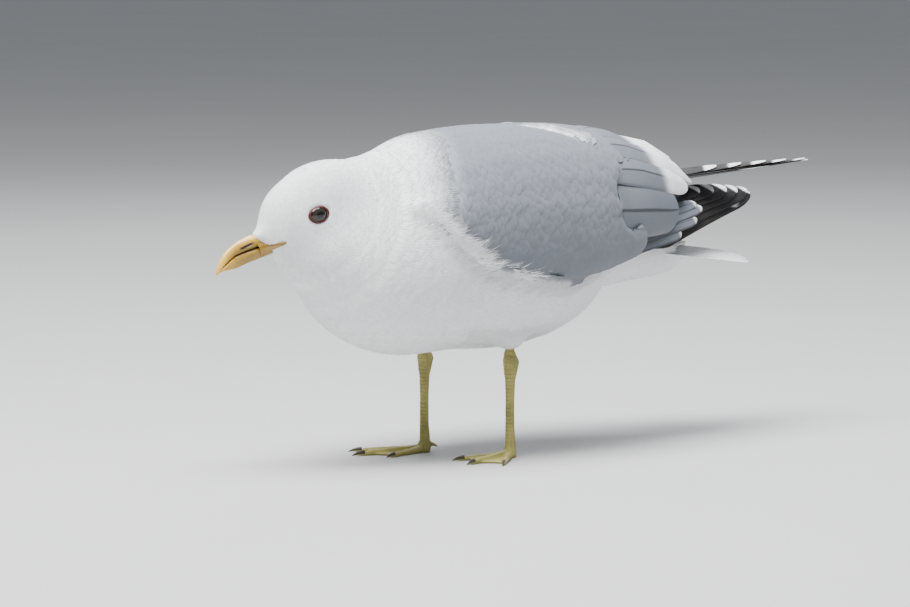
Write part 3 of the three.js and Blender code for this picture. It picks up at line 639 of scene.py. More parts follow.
class Surface:
    """The skin as something to root feathers in: triangles, smooth normals and an unwrap."""

    def __init__(self, shown):
        mesh = shown.data
        mesh.calc_loop_triangles()
        count = len(mesh.loop_triangles)
        self.points, self.normals = points_of(shown), normals_of(shown)
        corners, loops = np.empty(count * 3, np.int64), np.empty(count * 3, np.int64)
        mesh.loop_triangles.foreach_get("vertices", corners)
        mesh.loop_triangles.foreach_get("loops", loops)
        uv = np.empty(len(mesh.loops) * 2)
        mesh.uv_layers.active.data.foreach_get("uv", uv)
        self.corners = corners.reshape(-1, 3)
        self.uv = uv.reshape(-1, 2)[loops].reshape(-1, 3, 2)
        a, b, c = (self.points[self.corners[:, i]] for i in range(3))
        self.area = np.linalg.norm(np.cross(b - a, c - a), axis=1) / 2
        self.face_normals = unit(self.normals[self.corners].mean(1))
        self.tree = BVHTree.FromPolygons(self.points.tolist(), self.corners.tolist())

    def scatter(self, count):
        """Even random points over the skin: place, normal and unwrap."""
        face = rng.choice(len(self.area), count, p=self.area / self.area.sum())
        u, v = rng.random(count), rng.random(count)
        flip = u + v > 1
        u[flip], v[flip] = 1 - u[flip], 1 - v[flip]
        share = np.column_stack([1 - u - v, u, v])[:, :, None]
        places = (self.points[self.corners[face]] * share).sum(1)
        normals = unit((self.normals[self.corners[face]] * share).sum(1))
        return places, normals, (self.uv[face] * share).sum(1)

    def nearest(self, places):
        """The nearest point of the skin to each place, with the skin's normal there."""
        found = np.empty((len(places), 3))
        face = np.empty(len(places), np.int64)
        for i, place in enumerate(places.tolist()):
            at, _, index, _ = self.tree.find_nearest(place)
            found[i] = at
            face[i] = index
        return found, self.face_normals[face]


def unwrap(shown):
    """Lays the skin's own surface out flat."""
    bpy.context.view_layer.objects.active = shown
    shown.select_set(True)
    bpy.ops.object.mode_set(mode="EDIT")
    bpy.ops.mesh.select_all(action="SELECT")
    bpy.ops.uv.smart_project(angle_limit=math.radians(66), island_margin=0.003)
    bpy.ops.object.mode_set(mode="OBJECT")
    shown.select_set(False)


SKIN = skin_piece()
unwrap(SKIN)
SURFACE = Surface(SKIN)
fit(SKIN, PLUMAGE, "white_body", *FLESH, *WING_COVER)

# ---- how feathers lie --------------------------------------------------------------------------

BILL_BASE = 34  # forward of the middle of the head


def lie_of(places, normals):
    """The way that feathers point, along the skin: back from the bill and down the breast."""
    body = np.tile([1.0, 0.0, -0.15], (len(places), 1))
    x, y, z = places.T
    body[:, 2] -= 0.6 * ease(-x, 70, 115) * (1 - ease(z, 135, 165))
    body[:, 2] -= 0.25 * wing_share(places) * (1 - ease(roof_angle(places), 0, 50)) * (1 - ease(x, 10, 40))
    body[:, 2] += 0.35 * wing_share(places) * (1 - ease(roof_angle(places), -8, 6)) * ease(x, 20, 50)
    head = -HEAD_AXES[:, 0]
    share = head_share(places)[:, None]
    way = body * (1 - share) + head * share
    return way - (way * normals).sum(1)[:, None] * normals


def flank_share(places):
    """1 along the white edge that overlaps the folded wing from below."""
    angle = roof_angle(places) - np.interp(places[:, 0], *WING_LOW)
    return ease(angle, -20, -8) * (1 - ease(angle, 0, 3)) * ease(places[:, 0], -86, -70)


MOUTH_TOP = ([18.5, 26.9, 33, 38], [-9.5, -7.0, -5.2, -2.9])
MOUTH_LOW = ([18.5, 23.9, 26.9, 32.3, 38], [-9.8, -8.8, -9.5, -10.9, -12.4])
BARE = np.array([[39.5, 9], [39.0, 1.4], [38.2, -2.7], [33, -5.2], [26.9, -7.0], [18.5, -9.5], [18.5, -9.8],
                 [23.9, -8.8], [26.9, -9.5], [32.3, -10.9], [29.4, -14.4], [28.5, -18.0], [90, -40], [90, 30]])


def inside(outline, points):
    """Which points of a plane lie inside an outline."""
    x, y = points.T
    within = np.zeros(len(points), bool)
    for (x0, y0), (x1, y1) in zip(outline, np.roll(outline, -1, axis=0)):
        crosses = (y0 > y) != (y1 > y)
        with np.errstate(divide="ignore", invalid="ignore"):
            within ^= crosses & (x < (x1 - x0) * (y - y0) / (y1 - y0) + x0)
    return within


def bare_skin(places):
    """Where no feather grows: the bill, the eyes, and the legs."""
    side_view = in_head(places)[:, [0, 2]]
    near_bill = head_share(places) > 0.3
    legs = places[:, 2] < 66.5
    return (near_bill & inside(BARE, side_view)) | (round_the_eye(places) < 1.0) | legs


# ---- small feathers ----------------------------------------------------------------------------


def tuft_pattern(barbs, levels, open_from, full=1.25):
    """A loose feather as a fan of barbs. Points are (along, across, height, barb edge, barb)."""
    points, faces = [], []
    for k in range(barbs):
        c = 2 * k / (barbs - 1) - 1
        tip = 1 - 0.24 * c * c
        base = len(points)
        for s in levels[:-1]:
            spread = c * (0.12 + 0.88 * math.sin(min(s / 0.6, 1) * math.pi / 2)) * (1 - 0.22 * s)
            half = full / barbs * (1 - ease(s, open_from, 1.12))
            height = s * (1.6 - 0.6 * s) - 0.10 * c * c
            points.append((s * tip, spread - half, height, -1, k))
            points.append((s * tip, spread + half, height, 1, k))
        points.append((tip, c * 0.70, 0.97 - 0.10 * c * c, 0, k))
        rungs = len(levels) - 1
        for r in range(rungs - 1):
            a = base + 2 * r
            faces += [(a, a + 3, a + 1), (a, a + 2, a + 3)]
        a = base + 2 * (rungs - 1)
        faces.append((a, a + 2, a + 1))
    return np.array(points, float), np.array(faces)


def vane_pattern(rows, columns, tip_from):
    """A close-webbed feather as one cupped vane with a rounded tip."""
    points, faces = [], []
    for r in range(rows + 1):
        s = math.sin(r / rows * math.pi / 2)
        width = ease(s, -0.35, 0.25) * (math.sqrt(max(1 - ((s - tip_from) / (1 - tip_from)) ** 2, 0)) if s > tip_from else 1)
        for c in range(columns + 1):
            t = 2 * c / columns - 1
            points.append((s, t * max(float(width), 0.10), s - 0.12 * t * t, 0.8 * t, 0))
    for r in range(rows):
        for c in range(columns):
            a = r * (columns + 1) + c
            b = a + columns + 1
            faces += [(a, b + 1, a + 1), (a, b, b + 1)]
    return np.array(points, float), np.array(faces)


PATTERNS = {
    "down": tuft_pattern(4, (0, 0.5, 1), 0.3),
    "soft": tuft_pattern(7, (0, 0.4, 0.75, 1), 0.5),
    "loose": tuft_pattern(10, (0, 0.35, 0.7, 1), 0.35, 0.8),
    "close": vane_pattern(6, 6, 0.55),
}


class Tract:
    """One region of the plumage, with the size of its feathers in millimetres."""

    def __init__(self, name, pattern, spacing, length, width, lift, tilt=0.35, wild=0.08, follows=4.0, rise=0.0):
        self.name, self.pattern, self.spacing = name, pattern, spacing
        self.length, self.width, self.lift = length, width, lift
        self.tilt, self.wild = tilt, wild
        self.follows = follows  # it reaches out straight past an edge further than this
        self.rise = rise  # how far it turns upwards


TRACTS = {
    "face": Tract("face", "down", 0.75, 3.4, 1.4, 0.55),
    "crown": Tract("crown", "down", 1.0, 4.8, 1.8, 0.7),
    "neck": Tract("neck", "soft", 1.35, 8.0, 2.8, 1.0, 0.22, 0.05),
    "breast": Tract("breast", "soft", 2.0, 12.0, 4.4, 1.7, 0.25, 0.05),
    "flank": Tract("flank", "loose", 1.6, 13.0, 3.2, 3.7, 0.3, 0.15, 0.6, 0.8),
    "belly": Tract("belly", "soft", 2.2, 13.0, 4.8, 1.8, 0.25, 0.05),
    "vent": Tract("vent", "soft", 2.2, 15.0, 5.0, 1.5, 0.25, 0.05),
    "thigh": Tract("thigh", "loose", 1.5, 8.0, 2.6, 1.4, 0.3, 0.15),
    "mantle": Tract("mantle", "close", 2.1, 12.0, 5.6, 1.1, 0.2, 0.05),
    "covert": Tract("covert", "close", 2.6, 15.0, 6.6, 1.1, 0.2, 0.05),
}


def in_the_open(places, normals):
    """Leaves out the hollows under the folded wings, and their thin rear rims."""
    free = np.ones(len(places), bool)
    for i, (place, way) in enumerate(zip(places + normals * 0.8, normals)):
        free[i] = SURFACE.tree.ray_cast(Vector(place), Vector(way), 70)[0] is None
    x, y, _ = places.T
    angle = roof_angle(places)
    steep = (x > 0) & (np.linalg.norm(lie_of(places, normals), axis=1) < np.where(x > 50, 0.9, 0.8))
    groove = (x > -20) & (np.abs(y) < 7) & (np.abs(normals[:, 1]) > 0.6) & (angle > 40)
    under_tertials = ((x > 84) & (angle > 4)) | ((x > 67) & (angle > -3) & (angle < 48))
    lower_rim = (x > 30) & (normals[:, 2] < -0.3) & (ash_share(places) > 0.5)
    on_tail = x > 156
    return free & ~(steep | groove | under_tertials | lower_rim | on_tail)


def tract_of(places):
    """The name of the tract that each place on the skin belongs to."""
    x, y, z = places.T
    forward = in_head(places)[:, 0]
    head = head_share(places)
    ash = ash_share(places)
    names = np.full(len(places), "breast", dtype=object)
    names[x > -20] = "belly"
    names[(x > 70) & (ash < 0.5)] = "vent"
    names[(head > 0.02) & (ash < 0.5)] = "neck"
    names[head > 0.62] = "crown"
    names[(head > 0.62) & (forward > 6)] = "face"
    names[(head > 0.62) & (round_the_eye(places) < 2.2)] = "face"
    names[flank_share(places) > 0.4] = "flank"
    names[(z < 84) & (np.abs(y) < 46) & (np.abs(y) > 14) & (x > -40) & (x < 40)] = "thigh"
    grey = ash > 0.5 + 0.32 * (2 * rng.random(len(places)) - 1)
    names[grey & (x < 10)] = "mantle"
    names[grey & ((x >= 10) | (roof_angle(places) < 20))] = "covert"
    return names


def spread_out(places, spacing):
    """Which of the places to keep so that no two are nearer than the spacing."""
    kept, cells = [], {}
    size = spacing
    steps = [(i, j, k) for i in (-1, 0, 1) for j in (-1, 0, 1) for k in (-1, 0, 1)]
    keys = np.floor(places / size).astype(int).tolist()
    least = spacing * spacing
    for index, (place, key) in enumerate(zip(places.tolist(), keys)):
        x, y, z = place
        near = False
        for i, j, k in steps:
            for px, py, pz in cells.get((key[0] + i, key[1] + j, key[2] + k), ()):
                if (px - x) ** 2 + (py - y) ** 2 + (pz - z) ** 2 < least:
                    near = True
                    break
            if near:
                break
        if not near:
            cells.setdefault(tuple(key), []).append(place)
            kept.append(index)
    return np.array(kept, int)


UV_PATCH = 0.003


def coat_piece(name, tract, places, normals, unwrapped, slot):
    """All the feathers of one tract as one mesh."""
    pattern, faces = PATTERNS[tract.pattern]
    n, m = len(places), len(pattern)
    size = 1 + 0.24 * (rng.random((n, 1)) - 0.5)
    lift = tract.lift * (1 + 0.3 * (rng.random((n, 1)) - 0.5))
    upwards = np.array([0, 0, 1]) - normals[:, 2:] * normals
    lie = unit(unit(lie_of(places, normals)) + tract.rise * upwards)
    side = np.cross(normals, lie)
    turn = tract.wild * rng.standard_normal((n, 1))
    lie, side = unit(lie + side * turn), unit(side - lie * turn)
    barb = pattern[:, 4].astype(int)
    stray = 1 + tract.wild * rng.standard_normal((n, barb.max() + 1))
    along = tract.length * size * pattern[:, 0] * stray[:, barb]
    across = tract.width * size * pattern[:, 1]
    flat = places[:, None] + lie[:, None] * along[:, :, None] + side[:, None] * across[:, :, None]
    on_skin, up = SURFACE.nearest(flat.reshape(-1, 3))
    on_skin, up = on_skin.reshape(n, m, 3), up.reshape(n, m, 3)
    follows = np.where((places[:, 0] > 55) & (roof_angle(places) > 0), min(tract.follows, 1.6), tract.follows)[:, None]
    held = 1 - ease(np.linalg.norm(flat - on_skin, axis=2) / follows, 1, 1.8)[:, :, None]
    held = held * ease((up * normals[:, None]).sum(2), 0.25, 0.6)[:, :, None]
    if tract.follows > 1:  # and none dips into the skin
        held = np.maximum(held, ((flat - on_skin) * up).sum(2)[:, :, None] < 0.1)
    up = unit(up * held + normals[:, None] * (1 - held))
    height = 0.12 + lift * pattern[:, 2]
    points = on_skin * held + flat * (1 - held) + up * height[:, :, None]
    shading = unit(up + side[:, None] * (tract.tilt * pattern[:, 3])[:, None])
    whole = ~torn(flat, points, faces)
    n, places, points, shading, unwrapped = whole.sum(), places[whole], points[whole], shading[whole], unwrapped[whole]
    index = (np.arange(n) * m)[:, None, None] + faces[None]
    shown = new_object(name, points.reshape(-1, 3), index.reshape(-1, 3).tolist())
    shown.data.normals_split_custom_set_from_vertices(shading.reshape(-1, 3))
    own_ash = ash_share(places)[:, None]
    ash = 0.5 * own_ash + 0.5 * ash_share(points.reshape(-1, 3)).reshape(n, m)
    if tract.name == "flank":
        ash = np.zeros((n, m))
    set_value(shown, "ash", ash.ravel())
    # painted shade on the lores, carried by each feather
    set_value(shown, "painted_shade", painted_lore_shade(points.reshape(-1, 3)))
    set_value(shown, "tone", np.repeat(rng.random(n), m))
    patch_uv(shown, unwrapped, pattern, n, faces)
    return fit(shown, PLUMAGE, slot)


def torn(flat, points, faces):
    """Which feathers would be pulled out of shape by a step in the skin."""
    a, b = np.vstack([faces[:, :2], faces[:, 1:]]).T
    drawn = np.linalg.norm(points[:, a] - points[:, b], axis=2)
    meant = np.linalg.norm(flat[:, a] - flat[:, b], axis=2)
    return (drawn / (meant + 0.6)).max(1) > 1.35


def patch_uv(shown, unwrapped, pattern, n, faces):
    """Each feather gets a small patch of the unwrap, at its root's place."""
    low, high = unwrapped.min(0), unwrapped.max(0)
    centre = 0.004 + 0.992 * (unwrapped - low) / (high - low)
    local = np.column_stack([pattern[:, 0] - 0.5, pattern[:, 1] * 0.5]) * UV_PATCH
    uv = (centre[:, None] + local[None]).reshape(-1, 2)
    index = ((np.arange(n) * len(pattern))[:, None, None] + faces[None]).ravel()
    layer = shown.data.uv_layers.new(name="OFBake")
    layer.data.foreach_set("uv", uv[index].ravel().astype(np.float32))


CANDIDATES = 260000
FACE_CANDIDATES = 150000
PIECE_LIMIT = 195000  # triangles
SLOTS = {"mantle": "grey_feathers", "covert": "grey_feathers", "vent": "white_feathers", "thigh": "white_feathers"}


def grow_coat():
    places, normals, unwrapped = SURFACE.scatter(CANDIDATES)
    more = SURFACE.scatter(CANDIDATES * 3)
    near_head = head_share(more[0]) > 0.5
    places, normals, unwrapped = (np.concatenate([a, b[near_head]]) for a, b in zip((places, normals, unwrapped), more))
    grown = ~bare_skin(places)
    places, normals, unwrapped = places[grown], normals[grown], unwrapped[grown]
    names = tract_of(places)
    total = 0
    for name, tract in TRACTS.items():
        mine = np.flatnonzero(names == name)
        kept = mine[spread_out(places[mine], tract.spacing)]
        if name != "flank":
            kept = kept[in_the_open(places[kept], normals[kept])]
        faces = len(PATTERNS[tract.pattern][1])
        parts = math.ceil(len(kept) * faces / PIECE_LIMIT)
        kept = kept[np.argsort(places[kept, 1], kind="stable")]
        for i, share in enumerate(np.array_split(kept, parts)):
            coat_piece(f"coat_{name}_{i + 1}", tract, places[share], normals[share], unwrapped[share], SLOTS.get(name, "white_body"))
        total += len(kept) * faces
        print("coat", name, len(kept), len(kept) * faces)
    print("coat triangles", total)


grow_coat()

# ---- long feathers -----------------------------------------------------------------------------


def long_feather(name, place, edges, thick, shaft_at, markings, material, slot, replaced=(), rows=44, columns=12):
    """
    A long feather as a thin closed vane. `place(along, across)` gives the middle of the vane and
    its upward direction, and `edges` the two edges for each share of its length.
    """
    s = np.sin(np.linspace(0, 1, rows + 1) * math.pi / 2)
    t = np.linspace(0, 1, columns + 1)
    grid_s, grid_t = np.meshgrid(s, t, indexing="ij")
    middle, up = place(*edges(grid_s, grid_t))
    rim = np.sqrt(np.clip(1 - (2 * grid_t - 1) ** 4, 0, 1)) * 0.8 + 0.2
    shaft = np.exp(-(((grid_t - shaft_at) * (columns + 0.0)) ** 2) / 1.2) * (1 - 0.7 * grid_s) * 0.45
    top = middle + up * (thick * 0.5 * rim + shaft)[..., None]
    under = middle - up * (thick * 0.5 * rim + shaft * 0.8)[..., None]
    rings = np.concatenate([top, under[:, ::-1]], axis=1)
    points, faces = closed_loft(list(rings))
    shown = facing_out(new_object(name, points, faces))
    across = (grid_t - shaft_at) / np.where(grid_t > shaft_at, 1 - shaft_at, shaft_at)
    values = {"along": grid_s, "across": across, **markings(grid_s, across, middle)}
    for key, grid in values.items():
        grid = np.broadcast_to(grid, grid_s.shape)
        both = np.concatenate([grid, grid[:, ::-1]], axis=1)
        set_value(shown, key, np.concatenate([both.ravel(), [both[0].mean(), both[-1].mean()]]))
    set_value(shown, "tone", np.full(len(points), rng.random()))
    return fit(shown, material, slot, *replaced)


def round_tip(s, tip_from):
    past = np.clip((s - tip_from) / (1 - tip_from), 0, 1)
    return np.sqrt(np.clip(1 - past ** 2, 0.004, 1))


CLOAK = ([-90, -60, -30, 10, 60, 90, 115, 140, 160, 180],
         [48, 58, 64, 67, 65, 58, 50, 41, 32, 22],
         [34, 53, 63, 65, 64, 62, 53.5, 49, 40, 26])
ARCH_POWER = 2.15


def roof_place(side, x, angle, lift):
    """Points of the folded wings' roof, and the way out from it."""
    width, rise = np.interp(x, CLOAK[0], CLOAK[1]), np.interp(x, CLOAK[0], CLOAK[2])
    cos, sin = np.clip(np.cos(angle), 0, 1), np.abs(np.sin(angle))
    reach = ((cos / width) ** ARCH_POWER + (sin / rise) ** ARCH_POWER) ** (-1 / ARCH_POWER)
    out = np.stack([np.zeros_like(x), side * np.cos(angle), np.sin(angle)], axis=-1)
    middle = np.stack([x, np.zeros_like(x), np.full_like(x, ARCH_HEIGHT)], axis=-1)
    return middle + out * (reach + lift)[..., None], out


TERTIALS = [
    # lowest and highest angle, rear end, where the white begins, lift
    (-5, 33, 139, 150, 1.0),
    (26, 52, 160, 130, 1.6),
    (44, 71, 176, 124, 2.2),
    (63, 92.5, 163, 118, 2.8),
]
TERTIAL_FRONT = 74
TERTIAL_THICK = 0.5


def tertial(side_name, number):
    low, high, rear, white_from, lift = TERTIALS[number]
    side = SIDES[side_name]

    def edges(s, t):
        width = round_tip(s, 0.74) * (0.8 + 0.2 * ease(s, 0, 0.4))
        angle = low + (high - low) * (0.5 + (t - 0.5) * width)
        return TERTIAL_FRONT + (rear + 1.5 - TERTIAL_FRONT) * s, np.radians(angle)

    def place(x, angle):
        middle = math.radians((low + high) / 2)
        cup = 1.2 - 26 * (angle - middle) ** 2 / (math.radians(high - low) * 1.0)
        return roof_place(side, x, angle, lift + 0.35 * cup - 3.6 * (1 - ease(x, 82, 108)))

    def markings(s, across, middle):
        pale = ease(middle[..., 0], white_from - 5, white_from + 7)
        return {"ash": 1.0, "pale": pale}

    return long_feather(f"tertial_{side_name}_{number + 1}_vane", place, edges, TERTIAL_THICK, 0.45, markings,
                        FLIGHT_VANE, "grey_feathers", (f"tertial_{side_name}_{number + 1}",))


FLIGHT = {
    "left": {"root": [92, -40, 127], "tip": [259, 11, 147], "roll": math.radians(50), "bow": 5},
    "right": {"root": [92, 40, 150], "tip": [266, -33, 170], "roll": math.radians(10), "bow": 0},
}
PRIMARY_SHORTER = [0, 3, 17, 32, 50, 68]  # than the longest, outermost first
PRIMARY_WIDTH = 18
PRIMARY_LAYER = 1.15
PRIMARY_THICK = 0.55

# For each primary: where the black begins, and how much of its tip is white.
PRIMARY_BLACK = [0.0, 0.0, 0.1, 0.3, 0.45, 0.7]
PRIMARY_TIP = [0.012, 0.035, 0.05, 0.06, 0.065, 0.075]
MIRROR = {"primary": 0, "at": 0.80, "half": 0.05, "wide": 0.6}

# Grey inner feathers over them, from the top one down: root and tip in the fan, and layer.
INNER = [((16, -3), (81.5, -1.5), 9.4), ((8, 1.5), (85.5, 2.5), 8.8), ((0, 5.5), (73, 8.0), 8.2), ((-8, 8.5), (50, 12.0), 7.6)]
INNER_WIDTH = 9.6


def flight_place(side_name):
    """The layered fan that one wing's primaries lie in, as in the solids."""
    side, wing = SIDES[side_name], FLIGHT[side_name]
    root, tip = np.array(wing["root"], float), np.array(wing["tip"], float)
    length = np.linalg.norm(tip - root)
    along = (tip - root) / length
    level = unit(np.array([0, side, 0]) - along * along[1] * side)
    upright = np.cross(along, level) * -side
    upright *= 1 if upright[2] >= 0 else -1
    cos, sin = math.cos(wing["roll"]), math.sin(wing["roll"])
    across, normal = level * cos - upright * sin, level * sin + upright * cos

    def place(a, b, layer):
        bow = wing["bow"] * np.sin(math.pi * np.clip(a, 0, length) / length)
        above = layer + bow - 0.012 * b * b
        points = root + a[..., None] * along + b[..., None] * across + above[..., None] * normal
        return points, np.broadcast_to(normal, points.shape)

    return place, length


def primary(side_name, number):
    place, length = flight_place(side_name)
    lead_root, lead_tip = 17 - 5.3 * number, 6 - 2.4 * number
    end = length - PRIMARY_SHORTER[number]

    def edges(s, t):
        a = 12 + (end - 12) * s
        lead = lead_root + (lead_tip - lead_root) * s
        width = PRIMARY_WIDTH - 5 * s
        full = round_tip(s, 0.80) * (0.3 + 0.7 * ease(s, 0, 0.2))
        return a, lead - width / 2 + (t - 0.5) * width * full

    def markings(s, across, middle):
        dark_from = PRIMARY_BLACK[number]
        ash = 1 - ease(s + 0.12 * np.abs(across), dark_from - 0.03, dark_from + 0.05)
        pale = ease(s - 0.02 * across, 1 - PRIMARY_TIP[number] - 0.01, 1 - PRIMARY_TIP[number] + 0.01)
        if number == MIRROR["primary"]:
            far = np.hypot((s - MIRROR["at"]) / MIRROR["half"], across / MIRROR["wide"])
            pale = np.maximum(pale, 1 - ease(far, 0.85, 1.1))
        return {"ash": ash, "pale": pale}

    name = f"primary_{side_name}_{10 - number}"
    return long_feather(name + "_vane", lambda a, b: place(a, b, 0.4 + PRIMARY_LAYER * number), edges,
                        PRIMARY_THICK, 0.62, markings, FLIGHT_VANE, "black_feathers", (name,))


def inner_feather(side_name, number):
    """One of the short grey feathers that lie over the black ones, dark along its lower edge."""
    place, _ = flight_place(side_name)
    (root_a, root_b), (tip_a, tip_b), layer = INNER[number]

    def edges(s, t):
        middle = root_b + (tip_b - root_b) * s
        width = INNER_WIDTH * (1 - 0.15 * s) * round_tip(s, 0.84)
        return root_a + (tip_a - root_a) * s, middle + (t - 0.5) * width

    def markings(s, across, middle):
        return {"ash": 1 - 0.7 * ease(across, 0.72, 0.9), "pale": 0.75 * ease(s, 0.93, 0.97)}

    return long_feather(f"inner_feather_{side_name}_{number + 1}", lambda a, b: place(a, b, layer - 0.02 * (b - tip_b) ** 2),
                        edges, PRIMARY_THICK, 0.45, markings, FLIGHT_VANE, "grey_feathers")


TAIL_ROOT = np.array([106, 0, 128])
TAIL_DIP = math.radians(7.6)
TAIL_PAIRS = 6
TAIL_THICK = 0.5


def tail_feather(side_name, pair):
    side = SIDES[side_name]
    back = np.array([math.cos(TAIL_DIP), 0, -math.sin(TAIL_DIP)])
    up = np.array([math.sin(TAIL_DIP), 0, math.cos(TAIL_DIP)])
    length = 125 - 0.9 * pair

    def edges(s, t):
        outer = (12 + 3.5 * pair) * (0.6 + 0.4 * s)
        full = round_tip(s, 0.88)
        across = -0.5 + (outer + 0.5) * t
        middle = outer * 0.5
        return 8 + (length - 8) * s, middle + (across - middle) * full

    def place(a, b):
        outer = (12 + 3.5 * pair) * (0.6 + 0.4 * np.clip((a - 8) / (length - 8), 0, 1))
        gap = 1.0 - 0.45 * a / length
        above = 0.35 - pair * gap - 0.004 * b * b - 0.85 * gap * np.clip(b / outer, 0, 1) ** 8
        points = TAIL_ROOT + a[..., None] * back + above[..., None] * up
        return points + np.stack([0 * b, side * b, 0 * b], axis=-1), np.broadcast_to(up, points.shape)

    name = f"tail_feather_{side_name}_{pair + 1}"
    return long_feather(name + "_vane", place, edges, TAIL_THICK, 0.5, lambda s, across, middle: {},
                        TAIL_VANE, "white_feathers", (name,), columns=16)


for side_name in SIDES:
    for number in range(len(TERTIALS)):
        tertial(side_name, number)
    for number in range(len(PRIMARY_SHORTER)):
        primary(side_name, number)
    for number in range(len(INNER)):
        inner_feather(side_name, number)
    for pair in range(TAIL_PAIRS):
        tail_feather(side_name, pair)

# ---- eyes --------------------------------------------------------------------------------------


def eye_material():
    material, w, shader = new_material("eye", 0.06)
    out = w.value_of("outwards")
    fibres = w.noise(w.place((1, 1, 1)), 1500.0, 4.0)
    iris = w.mix(fibres, (0.010, 0.008, 0.006, 1), (0.030, 0.025, 0.018, 1))
    tint = w.mix(w.span(out, 0.36, 0.42), (0.002, 0.002, 0.002, 1), iris)
    tint = w.mix(w.span(out, 0.70, 0.84), tint, (0.008, 0.004, 0.003, 1))
    w.put(shader.inputs["Base Color"], tint)
    shader.inputs["Coat Weight"].default_value = 0.35
    shader.inputs["Coat Roughness"].default_value = 0.03
    shader.inputs["Specular IOR Level"].default_value = 0.35
    return material


def ring_material():
    material, w, shader = new_material("eye_ring", 0.42)
    grain = w.noise(w.place(), 900.0, 3.0)
    w.put(shader.inputs["Base Color"], w.mix(grain, (0.035, 0.002, 0.002, 1), (0.095, 0.006, 0.005, 1)))
    w.put(shader.inputs["Roughness"], w.span(grain, 0.3, 0.7, 0.35, 0.55))
    add_bump(w, shader, grain, 0.5, 0.2)
    return material


EYE = eye_material()
RING = ring_material()


def slanted(along, above):
    """Turns sizes across the eye to the slant of its ring."""
    cos, sin = math.cos(RING_SLANT), math.sin(RING_SLANT)
    return along * cos - above * sin, along * sin + above * cos


def cheek_depth(side_name, along, above):
    """How far out from the eye's middle the skin of the cheek lies."""
    side, middle = -SIDES[side_name], EYES[side_name]
    start = from_head(middle + np.array([along, side * 30.0, above]))
    hit = SURFACE.tree.ray_cast(Vector(start), Vector(HEAD_AXES[:, 1] * -side))[0]
    return side * (in_head(np.array(hit)[None])[0][1] - middle[1])


def ring_depth(side_name):
    """How far out from the eye's middle the ring of the lids lies."""
    turns = np.linspace(0, 2 * math.pi, 12, endpoint=False)
    return np.mean([cheek_depth(side_name, *slanted(8.2 * math.cos(t), 7.0 * math.sin(t))) for t in turns])


def eyeball(side_name):
    """A full dark eye, a little flatter than a ball."""
    side, middle = -SIDES[side_name], EYES[side_name]
    level = ring_depth(side_name) + 0.5 - EYE_SUNK
    rings, out = [], []
    for lean in np.linspace(0.02, math.pi * 0.6, 30):
        turn = np.linspace(0, 2 * math.pi, 48, endpoint=False)
        along, above = slanted(EYE_HALF[0] * math.sin(lean) * np.cos(turn), EYE_HALF[1] * math.sin(lean) * np.sin(turn))
        out_by = np.full_like(turn, side * (level + EYE_HALF[2] * math.cos(lean)))
        rings.append(from_head(middle + np.stack([along, out_by, above], axis=-1)))
        out += [math.sin(lean)] * 48
    points, faces = closed_loft(rings)
    shown = facing_out(new_object(f"eyeball_{side_name}", points, faces))
    set_value(shown, "outwards", out + [0, 1])
    return fit(shown, EYE, "eye", f"eye_{side_name}")


def eye_ring(side_name):
    """The bare red rim of the lids, sitting where the eye leaves the feathers."""
    side, middle = -SIDES[side_name], EYES[side_name]
    turns = np.linspace(0, 2 * math.pi, 72, endpoint=False)
    level = ring_depth(side_name)
    rings = []
    for turn in turns:
        cos, sin = math.cos(turn), math.sin(turn)
        corner = 1 + 0.07 * abs(cos) ** 8
        along, above = slanted((RING_LENGTH / 2 - 0.7) * cos * corner, (RING_HEIGHT / 2 - 0.7) * sin)
        outwards = unit(np.array([along, above]))
        own = cheek_depth(side_name, along * 1.3, above * 1.3)
        tube = np.linspace(0, 2 * math.pi, 14, endpoint=False)
        wide, tall = 0.74 * np.cos(tube), 0.62 * np.sin(tube)
        depth = 0.5 * (level + own) + 0.55 - 0.35 * np.cos(tube) + tall
        rings.append(from_head(middle + np.stack([along + wide * outwards[0], side * depth, above + wide * outwards[1]], axis=-1)))
    points = np.vstack(rings)
    faces = grid_faces(72, 14, around=True)
    faces += [(71 * 14 + c, 71 * 14 + (c + 1) % 14, (c + 1) % 14, c) for c in range(14)]
    shown = facing_out(new_object(f"eye_rim_{side_name}", points, faces))
    return fit(shown, RING, "eye_ring", f"eye_ring_{side_name}")


for side_name in SIDES:
    eyeball(side_name)
    eye_ring(side_name)

# ---- bill --------------------------------------------------------------------------------------

NOSTRIL = {"forward": 44.4, "up": -2.7, "half_length": 4.6, "half_height": 0.75, "deep": 1.3}
BILL_RINGS = 70
BILL_SIDES = 40


def bill_material():
    material, w, shader = new_material("bill_horn", 0.32)
    grain = w.noise(w.place((1, 1, 1)), 110.0, 5.0)
    lines = w.noise(w.place((0.3, 1, 1)), 600.0, 3.0)
    horn = w.mix(w.span(grain, 0.35, 0.7), (0.46, 0.255, 0.018, 1), (0.62, 0.36, 0.035, 1))
    horn = w.mix(w.value_of("olive"), horn, (0.16, 0.105, 0.022, 1))
    horn = w.mix(w.value_of("bright"), horn, (0.80, 0.50, 0.09, 1))
    # painted shade: `dark` darkens the nostril pits, the crease where the bill's halves meet, and the mouth's corner
    horn = w.mix(w.value_of("dark"), horn, (0.012, 0.008, 0.004, 1))
    w.put(shader.inputs["Base Color"], horn)
    w.put(shader.inputs["Roughness"], w.span(lines, 0.3, 0.7, 0.26, 0.44))
    shader.inputs["Coat Weight"].default_value = 0.25
    shader.inputs["Coat Roughness"].default_value = 0.2
    add_bump(w, shader, lines, 0.25, 0.15)
    return material


HORN = bill_material()


